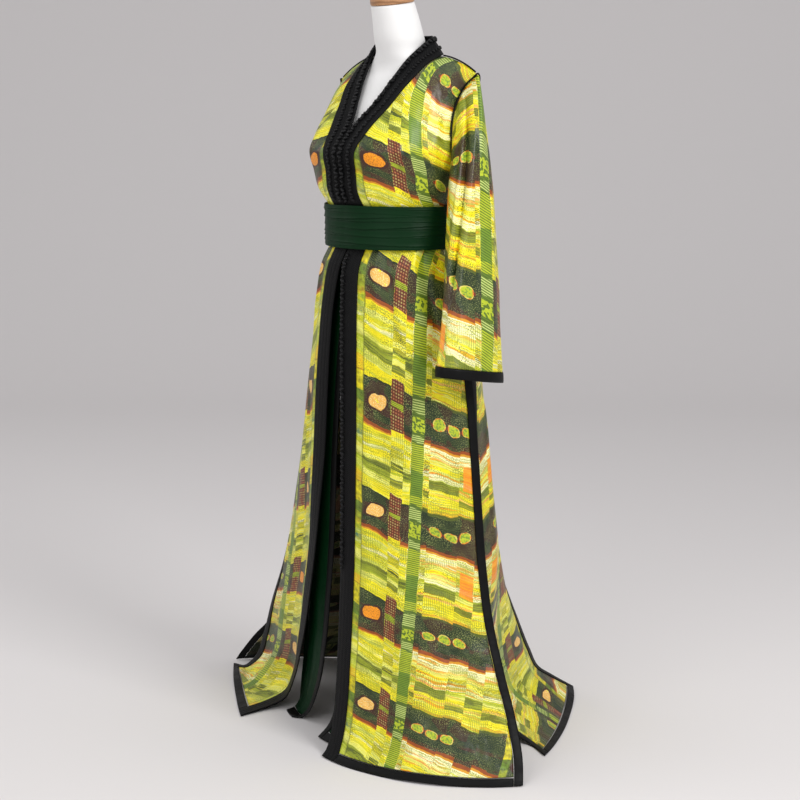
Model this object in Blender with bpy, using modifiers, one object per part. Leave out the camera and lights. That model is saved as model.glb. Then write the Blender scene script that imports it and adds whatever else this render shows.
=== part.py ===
"""A moroccan kaftan on a limbless dress form, in metres, +Z up, front towards -Y.

The garment is cut as four long panels from shoulder to hem, two straight sleeves with cuffs, a braided trim
round the neck and down both fronts, bound edges, a pleated belt and two under-skirt fronts.  Every panel is a
loft: its two long edges come from a short table, and each section between them is a quarter ellipse.
"""

import math

import bmesh
import bpy
import numpy as np

# ---------------------------------------------------------------- driving sizes, metres
CLOTH = 0.0012  # wall of the printed satin
BOUND = 0.0025  # wall of a bound or trimmed edge, where the satin is folded over
GAP = 0.0004  # air between two pieces at a seam
SEAM = 0.0009  # width lost between a panel and the thicker strip beside it
TRIM_WIDTH = 0.044  # braided trim on each front edge
BINDING_WIDTH = 0.019  # satin binding of slits, vent and hems
UNDER_BINDING_WIDTH = 0.016
CUFF_DEPTH = 0.021
PIPING_RADIUS = 0.0016
KNOT_RADIUS = 0.0038
FLOOR_CLEARANCE = 0.0028  # lowest height of a cloth's outer face
SHOULDER_DROP = 0.012  # the wearer's right shoulder hangs this much lower
BELT_LOW, BELT_HIGH = 1.043, 1.128
BELT_STAND_OFF = 0.010
BELT_PLEAT = 0.0022
POLE_RADIUS = 0.0125
BASE_RADIUS = 0.132
BASE_RIM = 0.010
BASE_CROWN = 0.018
CAP_RADIUS = 0.0445
CAP_HEIGHT = 0.020
NECK_TILT = 0.14  # rise of the neck's top per metre towards the back

# ---------------------------------------------------------------- tables of the long panels
# Below the underarm.  Columns: down (0 underarm, 1 hem), first edge x y z, second edge x y z, fullness.
FRONT_LEFT = np.array([
    [0.000, 0.0009, -0.151, 1.195, 0.162, 0.0060, 1.195, 0.056],
    [0.042, 0.0009, -0.147, 1.155, 0.152, 0.0000, 1.155, 0.050],
    [0.083, 0.0009, -0.128, 1.115, 0.138, -0.004, 1.115, 0.037],
    [0.125, 0.0009, -0.122, 1.080, 0.133, -0.006, 1.080, 0.035],
    [0.167, -0.001, -0.128, 1.045, 0.139, -0.004, 1.045, 0.038],
    [0.208, -0.006, -0.140, 1.010, 0.152, 0.002, 1.010, 0.043],
    [0.271, -0.008, -0.144, 0.940, 0.170, 0.012, 0.940, 0.047],
    [0.354, -0.008, -0.145, 0.850, 0.188, 0.021, 0.850, 0.051],
    [0.438, -0.008, -0.145, 0.750, 0.200, 0.027, 0.750, 0.054],
    [0.542, -0.008, -0.145, 0.620, 0.215, 0.027, 0.620, 0.056],
    [0.635, -0.008, -0.146, 0.500, 0.230, 0.024, 0.500, 0.058],
    [0.719, -0.006, -0.149, 0.400, 0.246, 0.020, 0.400, 0.060],
    [0.792, -0.004, -0.155, 0.300, 0.270, 0.015, 0.300, 0.062],
    [0.865, -0.002, -0.163, 0.200, 0.308, 0.010, 0.200, 0.063],
    [0.922, 0.000, -0.172, 0.110, 0.350, 0.002, 0.110, 0.064],
    [0.964, 0.002, -0.185, 0.045, 0.384, -0.015, 0.045, 0.065],
    [0.984, 0.003, -0.198, 0.014, 0.396, -0.026, 0.014, 0.066],
    [1.000, 0.004, -0.212, 0.003, 0.403, -0.034, 0.003, 0.066],
])
FRONT_RIGHT = np.array([
    [0.000, -0.0009, -0.151, 1.195, -0.162, 0.0060, 1.195, 0.056],
    [0.042, -0.0009, -0.147, 1.155, -0.152, 0.0000, 1.155, 0.050],
    [0.083, -0.0009, -0.128, 1.115, -0.138, -0.004, 1.115, 0.037],
    [0.125, -0.0011, -0.122, 1.080, -0.133, -0.006, 1.080, 0.035],
    [0.167, -0.004, -0.128, 1.045, -0.139, -0.004, 1.045, 0.038],
    [0.208, -0.012, -0.140, 1.010, -0.152, 0.002, 1.010, 0.045],
    [0.271, -0.030, -0.142, 0.940, -0.172, 0.012, 0.940, 0.047],
    [0.354, -0.043, -0.142, 0.850, -0.192, 0.020, 0.850, 0.049],
    [0.438, -0.052, -0.142, 0.750, -0.215, 0.022, 0.750, 0.050],
    [0.542, -0.063, -0.141, 0.620, -0.255, 0.018, 0.620, 0.043],
    [0.635, -0.082, -0.140, 0.500, -0.300, 0.008, 0.500, 0.026],
    [0.719, -0.100, -0.138, 0.400, -0.336, 0.000, 0.400, 0.012],
    [0.792, -0.122, -0.135, 0.300, -0.372, 0.000, 0.300, 0.008],
    [0.865, -0.165, -0.120, 0.185, -0.420, 0.005, 0.200, -0.002],
    [0.911, -0.225, -0.095, 0.085, -0.465, 0.020, 0.120, -0.014],
    [0.943, -0.283, -0.075, 0.024, -0.510, 0.035, 0.055, -0.014],
    [0.964, -0.300, -0.100, 0.010, -0.560, 0.045, 0.016, -0.004],
    [1.000, -0.307, -0.177, 0.003, -0.618, 0.050, 0.003, 0.006],
])
BACK_LEFT = np.array([
    [0.000, 0.162, 0.0078, 1.195, 0.0010, 0.098, 1.195, 0.040],
    [0.042, 0.152, 0.0018, 1.155, 0.0010, 0.085, 1.155, 0.037],
    [0.083, 0.138, -0.0022, 1.115, 0.0010, 0.075, 1.115, 0.034],
    [0.125, 0.133, -0.0042, 1.080, 0.0010, 0.072, 1.080, 0.033],
    [0.167, 0.139, -0.0022, 1.045, 0.0010, 0.079, 1.045, 0.036],
    [0.208, 0.152, 0.0038, 1.010, 0.0010, 0.092, 1.010, 0.040],
    [0.271, 0.170, 0.0138, 0.940, 0.0010, 0.115, 0.940, 0.043],
    [0.354, 0.188, 0.0240, 0.850, 0.0010, 0.134, 0.850, 0.046],
    [0.438, 0.200, 0.0300, 0.750, 0.0010, 0.146, 0.750, 0.048],
    [0.542, 0.213, 0.0342, 0.620, 0.002, 0.168, 0.620, 0.054],
    [0.635, 0.224, 0.0382, 0.500, 0.010, 0.198, 0.500, 0.058],
    [0.719, 0.234, 0.0442, 0.400, 0.022, 0.240, 0.400, 0.046],
    [0.792, 0.242, 0.0522, 0.300, 0.030, 0.286, 0.300, 0.020],
    [0.865, 0.240, 0.0742, 0.200, 0.028, 0.336, 0.205, -0.001],
    [0.911, 0.218, 0.1060, 0.105, 0.018, 0.392, 0.112, -0.008],
    [0.943, 0.222, 0.1350, 0.042, 0.004, 0.440, 0.054, -0.004],
    [0.964, 0.256, 0.1620, 0.009, 0.004, 0.480, 0.028, 0.006],
    [1.000, 0.333, 0.1380, 0.003, 0.048, 0.508, 0.003, 0.020],
])
# Low down its first edge is tucked behind the front: height, how far in.
BACK_LEFT_TUCK = np.array([
    [0.003, 0.022],
    [0.100, 0.026],
    [0.200, 0.030],
    [0.300, 0.031],
    [0.400, 0.031],
    [0.500, 0.028],
    [0.620, 0.018],
    [0.750, 0.006],
])
TUCK_WAY = np.array([-0.682, -0.731])
TUCK_BEHIND = 0.003


def tucked(rows, tuck):
    """Rows with the first edge moved in and behind by a depth for each height, x to 1 mm and y to 0.1 mm."""
    depth = np.interp(rows[:, 3], *tuck.T, right=0)
    behind = TUCK_BEHIND * np.minimum(1, depth / 0.02)
    moved = rows.copy()
    moved[:, 1] = (rows[:, 1] + TUCK_WAY[0] * depth + TUCK_WAY[1] * behind).round(3)
    moved[:, 2] = (rows[:, 2] + TUCK_WAY[1] * depth - TUCK_WAY[0] * behind).round(4)
    return moved


BACK_LEFT = tucked(BACK_LEFT, BACK_LEFT_TUCK)
BACK_RIGHT = np.array([
    [0.000, -0.162, 0.0078, 1.195, -0.0010, 0.098, 1.195, 0.040],
    [0.042, -0.152, 0.0018, 1.155, -0.0010, 0.085, 1.155, 0.037],
    [0.083, -0.138, -0.0022, 1.115, -0.0010, 0.075, 1.115, 0.034],
    [0.125, -0.133, -0.0042, 1.080, -0.0010, 0.072, 1.080, 0.033],
    [0.167, -0.139, -0.0022, 1.045, -0.0010, 0.079, 1.045, 0.036],
    [0.208, -0.152, 0.0038, 1.010, -0.0010, 0.092, 1.010, 0.040],
    [0.271, -0.172, 0.0138, 0.940, -0.0010, 0.115, 0.940, 0.043],
    [0.354, -0.192, 0.0230, 0.850, -0.0010, 0.134, 0.850, 0.047],
    [0.438, -0.215, 0.0257, 0.750, -0.0010, 0.145, 0.750, 0.050],
    [0.542, -0.254, 0.0262, 0.620, -0.003, 0.164, 0.620, 0.050],
    [0.635, -0.300, 0.0262, 0.500, -0.010, 0.188, 0.500, 0.050],
    [0.719, -0.340, 0.0282, 0.400, -0.018, 0.214, 0.400, 0.052],
    [0.792, -0.382, 0.0362, 0.300, -0.024, 0.242, 0.300, 0.056],
    [0.865, -0.440, 0.0522, 0.200, -0.030, 0.276, 0.200, 0.064],
    [0.911, -0.532, 0.0860, 0.118, -0.036, 0.308, 0.110, 0.072],
    [0.943, -0.592, 0.0900, 0.068, -0.042, 0.342, 0.048, 0.080],
    [0.964, -0.628, 0.0860, 0.028, -0.050, 0.372, 0.018, 0.086],
    [1.000, -0.642, 0.0760, 0.003, -0.066, 0.412, 0.003, 0.096],
])
PANELS = {
    "front_left": FRONT_LEFT,
    "front_right": FRONT_RIGHT,
    "back_left": BACK_LEFT,
    "back_right": BACK_RIGHT,
}

# Above the underarm, wearer's left.  Columns: up (0 underarm, 1 shoulder seam), neck edge of the trim x y z,
# trim's outer edge x y z, armhole x y z, share of the underarm section's fullness.
UPPER_FRONT = np.array([
    [0.0, 0.0009, -0.151, 1.195, 0.0440, -0.150, 1.195, 0.162, 0.006, 1.195, 1.00],
    [0.2, 0.0009, -0.156, 1.238, 0.0460, -0.155, 1.236, 0.169, -0.010, 1.235, 1.00],
    [0.4, 0.0026, -0.119, 1.284, 0.0560, -0.127, 1.278, 0.164, -0.006, 1.275, 0.90],
    [0.6, 0.0240, -0.081, 1.331, 0.0740, -0.087, 1.324, 0.161, 0.003, 1.312, 0.72],
    [0.8, 0.0420, -0.045, 1.382, 0.0900, -0.045, 1.373, 0.167, 0.014, 1.346, 0.50],
    [0.9, 0.0540, -0.017, 1.418, 0.0970, -0.004, 1.407, 0.182, 0.022, 1.371, 0.28],
    [1.0, 0.0730, 0.028, 1.459, 0.0990, 0.0296, 1.421, 0.200, 0.0296, 1.385, 0.00],
])
# Columns: up, armhole x y z, centre back and then back neck x y z, share of fullness.
UPPER_BACK = np.array([
    [0.00, 0.162, 0.0078, 1.195, 0.0010, 0.098, 1.195, 1.00],
    [0.20, 0.168, 0.035, 1.235, 0.0010, 0.106, 1.245, 1.00],
    [0.40, 0.166, 0.050, 1.275, 0.0010, 0.110, 1.300, 0.90],
    [0.60, 0.167, 0.056, 1.312, 0.0010, 0.108, 1.350, 0.70],
    [0.80, 0.174, 0.054, 1.346, 0.0010, 0.100, 1.395, 0.50],
    [0.90, 0.186, 0.046, 1.371, 0.0120, 0.0875, 1.4210, 0.30],
    [0.95, 0.193, 0.040, 1.379, 0.0600, 0.070, 1.4210, 0.15],
    [1.00, 0.200, 0.0322, 1.3845, 0.1005, 0.0325, 1.4195, 0.00],
])
# Standing back of the collar.  Columns: round (0 shoulder, 1 centre back), top edge x y z, lower edge x y z.
COLLAR = np.array([
    [0.0, 0.0730, 0.028, 1.459, 0.0990, 0.0296, 1.4215],
    [0.4, 0.0560, 0.046, 1.461, 0.0800, 0.0540, 1.4245],
    [0.7, 0.0300, 0.062, 1.461, 0.0420, 0.0770, 1.4245],
    [1.0, 0.0004, 0.068, 1.461, 0.0004, 0.0880, 1.4245],
])
# Sleeve rings.  Columns: place (0 armhole, 1 cuff seam), centre x y z, half width x, half depth y, tilt.
SLEEVE_LEFT = np.array([
    [0.30, 0.208, 0.006, 1.140, 0.035, 0.054, 0.00],
    [0.45, 0.215, 0.000, 1.063, 0.037, 0.059, -0.03],
    [0.65, 0.227, -0.010, 0.969, 0.038, 0.066, -0.08],
    [0.83, 0.238, -0.021, 0.891, 0.039, 0.073, -0.12],
    [1.00, 0.247, -0.033, 0.816, 0.041, 0.083, -0.16],
])
SLEEVE_RIGHT = np.array([
    [0.30, -0.203, 0.075, 1.140, 0.033, 0.050, 0.00],
    [0.45, -0.206, 0.100, 1.063, 0.034, 0.055, -0.02],
    [0.65, -0.220, 0.122, 0.969, 0.036, 0.060, -0.05],
    [0.83, -0.233, 0.136, 0.891, 0.038, 0.066, -0.08],
    [1.00, -0.244, 0.146, 0.816, 0.040, 0.075, -0.10],
])
SLEEVES = {"left": SLEEVE_LEFT, "right": SLEEVE_RIGHT}
# Under-skirt fronts.  Columns as for the long panels, down from the belt.
UNDER_LEFT = np.array([
    [0.00, 0.003, -0.111, 1.000, 0.130, -0.030, 1.000, 0.030],
    [0.25, 0.004, -0.120, 0.750, 0.162, -0.035, 0.750, 0.033],
    [0.50, 0.000, -0.122, 0.500, 0.180, -0.060, 0.500, 0.030],
    [0.70, -0.010, -0.126, 0.300, 0.190, -0.080, 0.300, 0.026],
    [0.88, -0.036, -0.130, 0.120, 0.200, -0.095, 0.120, 0.024],
    [0.97, -0.066, -0.136, 0.030, 0.206, -0.100, 0.030, 0.026],
    [1.00, -0.089, -0.142, 0.003, 0.208, -0.104, 0.003, 0.028],
])
UNDER_RIGHT = np.array([
    [0.00, -0.004, -0.111, 1.000, -0.130, -0.030, 1.000, 0.030],
    [0.12, -0.020, -0.121, 0.880, -0.148, -0.030, 0.880, 0.031],
    [0.25, -0.035, -0.123, 0.750, -0.165, -0.028, 0.750, 0.030],
    [0.38, -0.048, -0.121, 0.620, -0.190, -0.030, 0.620, 0.030],
    [0.58, -0.066, -0.115, 0.420, -0.225, -0.034, 0.420, 0.028],
    [0.71, -0.078, -0.117, 0.290, -0.240, -0.036, 0.290, 0.024],
    [0.80, -0.092, -0.116, 0.200, -0.250, -0.038, 0.200, 0.018],
    [0.90, -0.128, -0.108, 0.090, -0.262, -0.040, 0.090, 0.010],
    [0.96, -0.180, -0.092, 0.022, -0.270, -0.044, 0.024, 0.004],
    [0.98, -0.203, -0.088, 0.005, -0.272, -0.054, 0.006, 0.002],
    [1.00, -0.226, -0.099, 0.003, -0.270, -0.078, 0.003, 0.001],
])
# Dress form.  Columns: height, half width, front y, back y.
FORM = np.array([
    [0.740, 0.128, -0.086, 0.095],
    [0.760, 0.136, -0.094, 0.103],
    [0.850, 0.138, -0.097, 0.100],
    [0.950, 0.128, -0.095, 0.084],
    [1.020, 0.118, -0.093, 0.066],
    [1.080, 0.114, -0.094, 0.056],
    [1.140, 0.124, -0.110, 0.062],
    [1.200, 0.145, -0.132, 0.080],
    [1.240, 0.147, -0.130, 0.090],
    [1.280, 0.145, -0.103, 0.094],
    [1.320, 0.149, -0.076, 0.092],
    [1.350, 0.156, -0.054, 0.085],
    [1.372, 0.144, -0.040, 0.077],
    [1.390, 0.116, -0.029, 0.070],
    [1.405, 0.083, -0.026, 0.066],
    [1.425, 0.057, -0.030, 0.062],
    [1.457, 0.0500, -0.040, 0.058],
    [1.490, 0.0455, -0.046, 0.047],
    [1.524, 0.0420, -0.052, 0.033],
])
# Soft folds of each long panel: place across, half width, depth at the belt, depth at the hem, metres.
FOLDS = {
    "front_left": [(0.30, 0.13, -0.003, -0.010), (0.55, 0.12, 0.002, 0.009), (0.80, 0.12, -0.001, -0.008)],
    "front_right": [(0.35, 0.14, -0.002, -0.010), (0.66, 0.13, 0.001, 0.007)],
    "back_left": [(0.28, 0.13, -0.001, -0.006), (0.55, 0.14, 0.002, -0.012), (0.80, 0.13, -0.002, 0.006)],
    "back_right": [(0.25, 0.12, -0.001, -0.008), (0.50, 0.13, 0.002, 0.014), (0.76, 0.13, -0.002, -0.012)],
}
SLIT_TOP = 0.405  # down a long panel, where the side slit starts
VENT_TOP = 0.780  # where the vent at the centre back starts
HEM_START = {"front_left": 0.982, "front_right": 0.988, "back_left": 0.990, "back_right": 0.986}


# ---------------------------------------------------------------- geometry
def along(knots, values, at):
    """Smooth curve through a table's rows: cubic pieces whose slopes are the rows' central differences."""
    slope = np.gradient(values, knots, axis=0)
    at = np.asarray(at, float)
    i = np.clip(np.searchsorted(knots, at, side="right") - 1, 0, len(knots) - 2)
    width = knots[i + 1] - knots[i]
    t = ((at - knots[i]) / width)[..., None]
    width = width[..., None]
    ends = (2 * t**3 - 3 * t**2 + 1) * values[i] + (3 * t**2 - 2 * t**3) * values[i + 1]
    return ends + width * ((t**3 - 2 * t**2 + t) * slope[i] + (t**3 - t**2) * slope[i + 1])


def read(table, at):
    return along(table[:, 0], table[:, 1:], at)


def section_points(table, angle, down):
    """Points of the quarter-ellipse sections; angle 0 is the first edge and 1 the second."""
    row = read(table, down)
    first, second, fullness = row[..., 0:3], row[..., 3:6], row[..., 6:7]
    middle = (first + second) / 2
    chord = second - first
    outward = np.stack([chord[..., 1], -chord[..., 0], 0 * chord[..., 0]], -1)
    outward /= np.linalg.norm(outward, axis=-1, keepdims=True)
    start = outward.reshape(-1, 3)[0] @ middle.reshape(-1, 3)[0]
    centre = middle - np.sign(start) * outward * fullness / (math.sqrt(2) - 1)
    turn = np.asarray(angle)[..., None] * math.pi / 2
    return centre + (first - centre) * np.cos(turn) + (second - centre) * np.sin(turn)


def fold_offset(name, angle, down):
    """Depth of the soft folds, growing from the belt to the hem."""
    grow = np.clip((down - 0.17) / 0.83, 0, 1)
    offset = np.zeros(np.broadcast(angle, down).shape)
    for place, half_width, at_belt, at_hem in FOLDS[name]:
        shape = np.exp(-(((angle - place) / half_width) ** 2))
        lying = np.clip((1.0 - down) / 0.06, 0.35, 1)
        offset += shape * (at_belt * np.clip(down / 0.17, 0, 1) * (1 - grow) + at_hem * grow) * lying
    return offset


def normals(points):
    """Unit normals of a grid of points, from its central differences."""
    normal = np.cross(np.gradient(points, axis=1), np.gradient(points, axis=0))
    return normal / np.maximum(np.linalg.norm(normal, axis=-1, keepdims=True), 1e-9)


def spaced(table, down, from_first, from_second, count):
    """Section angles that leave a given width at each edge and share the rest evenly."""
    dense = np.linspace(0, 1, 61)
    points = section_points(table, np.tile(dense, (len(down), 1)), np.tile(down[:, None], (1, 61)))
    steps = np.linalg.norm(np.diff(points, axis=1), axis=2)
    length = np.concatenate([np.zeros((len(down), 1)), np.cumsum(steps, axis=1)], axis=1)
    angles = [
        np.interp(np.linspace(from_first, own[-1] - from_second, count), own, dense) for own in length
    ]
    return np.array(angles)


def rest_on_floor(points):
    points[..., 2] = np.maximum(points[..., 2], FLOOR_CLEARANCE)
    return points


# ---------------------------------------------------------------- Blender helpers
def clear_scene():
    for old in list(bpy.data.objects):
        bpy.data.objects.remove(old, do_unlink=True)


def make_material(name, colour, roughness, metallic=0.0):
    material = bpy.data.materials.new(name)
    material.use_nodes = True
    shader = material.node_tree.nodes["Principled BSDF"]
    shader.inputs["Base Color"].default_value = (*colour, 1.0)
    shader.inputs["Roughness"].default_value = roughness
    shader.inputs["Metallic"].default_value = metallic
    return material


def add_object(name, mesh, material):
    mesh.materials.append(material)
    mesh.shade_smooth()
    piece = bpy.data.objects.new(name, mesh)
    kaftan.objects.link(piece)
    return piece


def grid_mesh(name, points, keep, closed):
    """Mesh of the kept cells of a grid; a closed grid joins its last column to its first."""
    rows, columns = points.shape[:2]
    mesh = bmesh.new()
    corners = [mesh.verts.new(point) for point in points.reshape(-1, 3)]
    across = columns if closed else columns - 1
    for i in range(rows - 1):
        for j in range(across):
            if keep is None or keep[i, j]:
                k = (j + 1) % columns
                mesh.faces.new([corners[r * columns + c] for r, c in ((i, j), (i, k), (i + 1, k), (i + 1, j))])
    bmesh.ops.delete(mesh, geom=[v for v in mesh.verts if not v.link_faces], context="VERTS")
    data = bpy.data.meshes.new(name)
    mesh.to_mesh(data)
    mesh.free()
    return data


def cloth(name, points, wall, proud, material, keep=None, closed=False, inside=None):
    """Wall of cloth on a grid of points, its outer face standing proud of them by a given height."""
    data = grid_mesh(name, points, keep, closed)
    centre = np.array(inside if inside is not None else (0, -0.02, 0))
    facing = sum(
        face.normal.dot(face.center - face.center.__class__((centre[0], centre[1], face.center.z - 0.12)))
        for face in data.polygons
    )
    if facing < 0:
        data.flip_normals()
    piece = add_object(name, data, material)
    wall_maker = piece.modifiers.new("wall", "SOLIDIFY")
    wall_maker.thickness = wall
    wall_maker.offset = 2 * proud / wall - 1
    return piece


def cord(name, path, radius, sides, material):
    """Round cord along a path of points, its ends filled."""
    curve = bpy.data.curves.new(name, "CURVE")
    curve.dimensions = "3D"
    curve.bevel_depth = radius
    curve.bevel_resolution = (sides - 4) // 2
    curve.use_fill_caps = True
    spline = curve.splines.new("POLY")
    spline.points.add(len(path) - 1)
    spline.points.foreach_set("co", np.hstack([path, np.ones((len(path), 1))]).ravel())
    curve.materials.append(material)
    piece = bpy.data.objects.new(name, curve)
    kaftan.objects.link(piece)
    return piece


# ---------------------------------------------------------------- the long panels, their trims and bindings
FRONT_COLUMNS = 9
BACK_COLUMNS = 9
TRIM_COLUMNS = 3


def lower_rows(name, breaks):
    """Heights down a panel: even rows, with a close pair at each break so that pieces can part there."""
    table = PANELS[name]
    rows = list(table[1:-1, 0])
    rows = [0.0] + [row for row in rows if all(abs(row - place) > 0.012 for place in breaks)] + [1.0]
    for place in breaks:
        half = SEAM if place > 0.9 else SEAM / 2
        rows += [place - half, place + half]
    return np.array(sorted(rows))


def fold_grid(name, points, angle, down):
    offset = fold_offset(name, angle, down)
    normal = normals(points)
    away = np.sign((normal[..., :2] * (points[..., :2] - [0, -0.02])).sum())
    return points + away * normal * offset[..., None]


def front_grid(name, side):
    """Grid of a whole front: trim columns, a close gap, cloth columns, a close gap, slit binding."""
    table = PANELS[name]
    down = lower_rows(name, [SLIT_TOP, HEM_START[name]])
    trim = spaced(table, down, 0, 0, 400)
    length = np.linalg.norm(np.diff(section_points(table, trim, np.tile(down[:, None], (1, 400))), axis=1), axis=2)
    total = length.sum(axis=1)
    edge = spaced(table, down, 0, 0, 2) * 0
    trim_angles = np.array(
        [spaced(table, down[i : i + 1], 0, total[i] - TRIM_WIDTH + SEAM, TRIM_COLUMNS)[0] for i in range(len(down))]
    )
    body_angles = spaced(table, down, TRIM_WIDTH, BINDING_WIDTH, FRONT_COLUMNS)
    bind_angles = np.hstack([spaced(table, down, TRIM_WIDTH, BINDING_WIDTH - SEAM, 2)[:, 1:], edge[:, :1] + 1])
    angle = np.hstack([trim_angles, body_angles, bind_angles])
    down = np.tile(down[:, None], (1, angle.shape[1]))
    lower = fold_grid(name, section_points(table, angle, down), angle, down)
    lower = rest_on_floor(lower)

    # Above the underarm the same columns run on to the shoulder seam.
    up = np.linspace(1, 0, 8)[:-1]
    row = read(UPPER_FRONT, up)
    neck, outer, armhole, share = row[:, 0:3], row[:, 3:6], row[:, 6:9], row[:, 9:10]
    mirror = np.array([side, 1, 1])
    neck, outer, armhole = neck * mirror, outer * mirror, armhole * mirror
    if side < 0:
        armhole[:, 2] -= SHOULDER_DROP * np.clip((up - 0.5) / 0.5, 0, 1)
    first = lower[0, TRIM_COLUMNS:]
    chord = first[-1] - first[0]
    reach = np.linalg.norm(chord)
    chord /= reach
    across = np.array([chord[1], -chord[0], 0])
    along_chord = (first - first[0]) @ chord / reach
    off_chord = (first - first[0]) @ across
    upper = np.empty((len(up), angle.shape[1], 3))
    start = outer + (armhole - outer) * (SEAM / np.linalg.norm(armhole - outer, axis=1))[:, None]
    steps = np.linspace(0, 1, TRIM_COLUMNS)[None, :, None]
    upper[:, :TRIM_COLUMNS] = neck[:, None] * (1 - steps) + outer[:, None] * steps
    span = armhole - start
    turn = np.stack([span[:, 1], -span[:, 0], 0 * span[:, 0]], 1)
    turn /= np.linalg.norm(turn, axis=1, keepdims=True)
    upper[:, TRIM_COLUMNS:] = (
        start[:, None] + span[:, None] * along_chord[None, :, None] + turn[:, None] * (share * off_chord)[:, :, None]
    )
    crown = 0.007 * up**6
    upper[:, TRIM_COLUMNS:, 2] += crown[:, None] * 4 * along_chord * (1 - along_chord)

    around = np.linspace(1, 0, 5)[:-1]
    collar = read(COLLAR, around)
    top, low = collar[:, None, 0:3] * mirror, collar[:, None, 3:6] * mirror
    stand = np.full((len(around), angle.shape[1], 3), np.nan)
    stand[:, :TRIM_COLUMNS] = top * (1 - steps) + low * steps
    return np.vstack([stand, upper, lower]), down[:, 0], len(around), len(up)


def cells(points):
    return np.zeros((points.shape[0] - 1, points.shape[1] - 1), bool)


def make_front(name, side, satin, black):
    points, down, stand, up = front_grid(name, side)
    first = stand + up
    slit = first + int(np.searchsorted(down, SLIT_TOP)) - 1
    hem = first + int(np.searchsorted(down, HEM_START[name])) - 1
    body = cells(points)
    body[stand:hem, TRIM_COLUMNS:-2] = True
    body[stand:slit, -2:] = True
    points = np.where(np.isnan(points), 0, points)
    cloth(name, points, CLOTH, 0, satin, body)
    trim = cells(points)
    trim[:, : TRIM_COLUMNS - 1] = True
    cloth("front_trim" + name[5:], points, BOUND, 0.001, black, trim)
    binding = cells(points)
    binding[slit + 1 :, -1] = True
    binding[hem + 1 :, TRIM_COLUMNS:-1] = True
    cloth("binding_" + name, points, BOUND, 0.001, black, binding)
    return points


def back_grid(name, side):
    """Grid of a whole back: side-slit binding, a close gap, cloth, a close gap, vent binding."""
    table = PANELS[name]
    down = lower_rows(name, [SLIT_TOP, VENT_TOP, HEM_START[name]])
    body = spaced(table, down, BINDING_WIDTH, BINDING_WIDTH, BACK_COLUMNS)
    wide = spaced(table, down, BINDING_WIDTH - SEAM, BINDING_WIDTH - SEAM, 2)
    angle = np.hstack([wide[:, :1] * 0, wide[:, :1], body, wide[:, 1:], wide[:, 1:] * 0 + 1])
    down = np.tile(down[:, None], (1, angle.shape[1]))
    lower = rest_on_floor(fold_grid(name, section_points(table, angle, down), angle, down))

    up = np.array([1.0, 0.95, 0.9, 0.8, 0.65, 0.5, 0.35, 0.2])
    row = read(UPPER_BACK, up)
    armhole, centre, share = row[:, 0:3], row[:, 3:6], row[:, 6:7]
    mirror = np.array([side, 1, 1])
    armhole, centre = armhole * mirror, centre * mirror
    if side < 0:
        armhole[:, 2] -= SHOULDER_DROP * np.clip((up - 0.5) / 0.5, 0, 1)
    first = lower[0]
    chord = first[-1] - first[0]
    reach = np.linalg.norm(chord)
    chord /= reach
    across = np.array([chord[1], -chord[0], 0])
    along_chord = (first - first[0]) @ chord / reach
    off_chord = (first - first[0]) @ across
    span = centre - armhole
    turn = np.stack([span[:, 1], -span[:, 0], 0 * span[:, 0]], 1)
    turn /= np.linalg.norm(turn, axis=1, keepdims=True)
    upper = armhole[:, None] + span[:, None] * along_chord[None, :, None] + turn[:, None] * (share * off_chord)[:, :, None]
    crown = 0.007 * up**6
    upper[..., 2] += crown[:, None] * 4 * along_chord * (1 - along_chord)
    return np.vstack([upper, lower]), down[:, 0], len(up)


def make_back(name, side, satin, black):
    points, down, up = back_grid(name, side)
    slit = up + int(np.searchsorted(down, SLIT_TOP)) - 1
    vent = up + int(np.searchsorted(down, VENT_TOP)) - 1
    hem = up + int(np.searchsorted(down, HEM_START[name])) - 1
    body = cells(points)
    body[:hem, 2:-2] = True
    body[:slit, :2] = True
    body[:vent, -2:] = True
    cloth(name, points, CLOTH, 0, satin, body)
    binding = cells(points)
    binding[slit + 1 :, 0] = True
    binding[vent + 1 :, -1] = True
    binding[hem + 1 :, 1:-1] = True
    cloth("binding_" + name, points, BOUND, 0.001, black, binding)
    return points


# ---------------------------------------------------------------- sleeves, cuffs and pipings
SLEEVE_SIDES = 14


def armhole_loop(side, turns):
    """Closed armhole; 0 shoulder tip, 0.25 front, 0.5 underarm, 0.75 back."""
    front = UPPER_FRONT[::-1, 7:10]
    back = UPPER_BACK[:, 1:4]
    points = np.vstack([front, back[1:]])
    turn = len(front) - 1
    length = np.concatenate([[0], np.cumsum(np.linalg.norm(np.diff(points, axis=0), axis=1))])
    half = length[turn]
    knots = np.where(length <= half, length / half / 2, 0.5 + (length - half) / (length[-1] - half) / 2)
    loop = along(knots, points, np.asarray(turns) % 1.0)
    if side < 0:
        loop[:, 2] -= SHOULDER_DROP * np.clip((loop[:, 2] - 1.29) / 0.095, 0, 1)
    return loop * [side, 1, 1]


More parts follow.
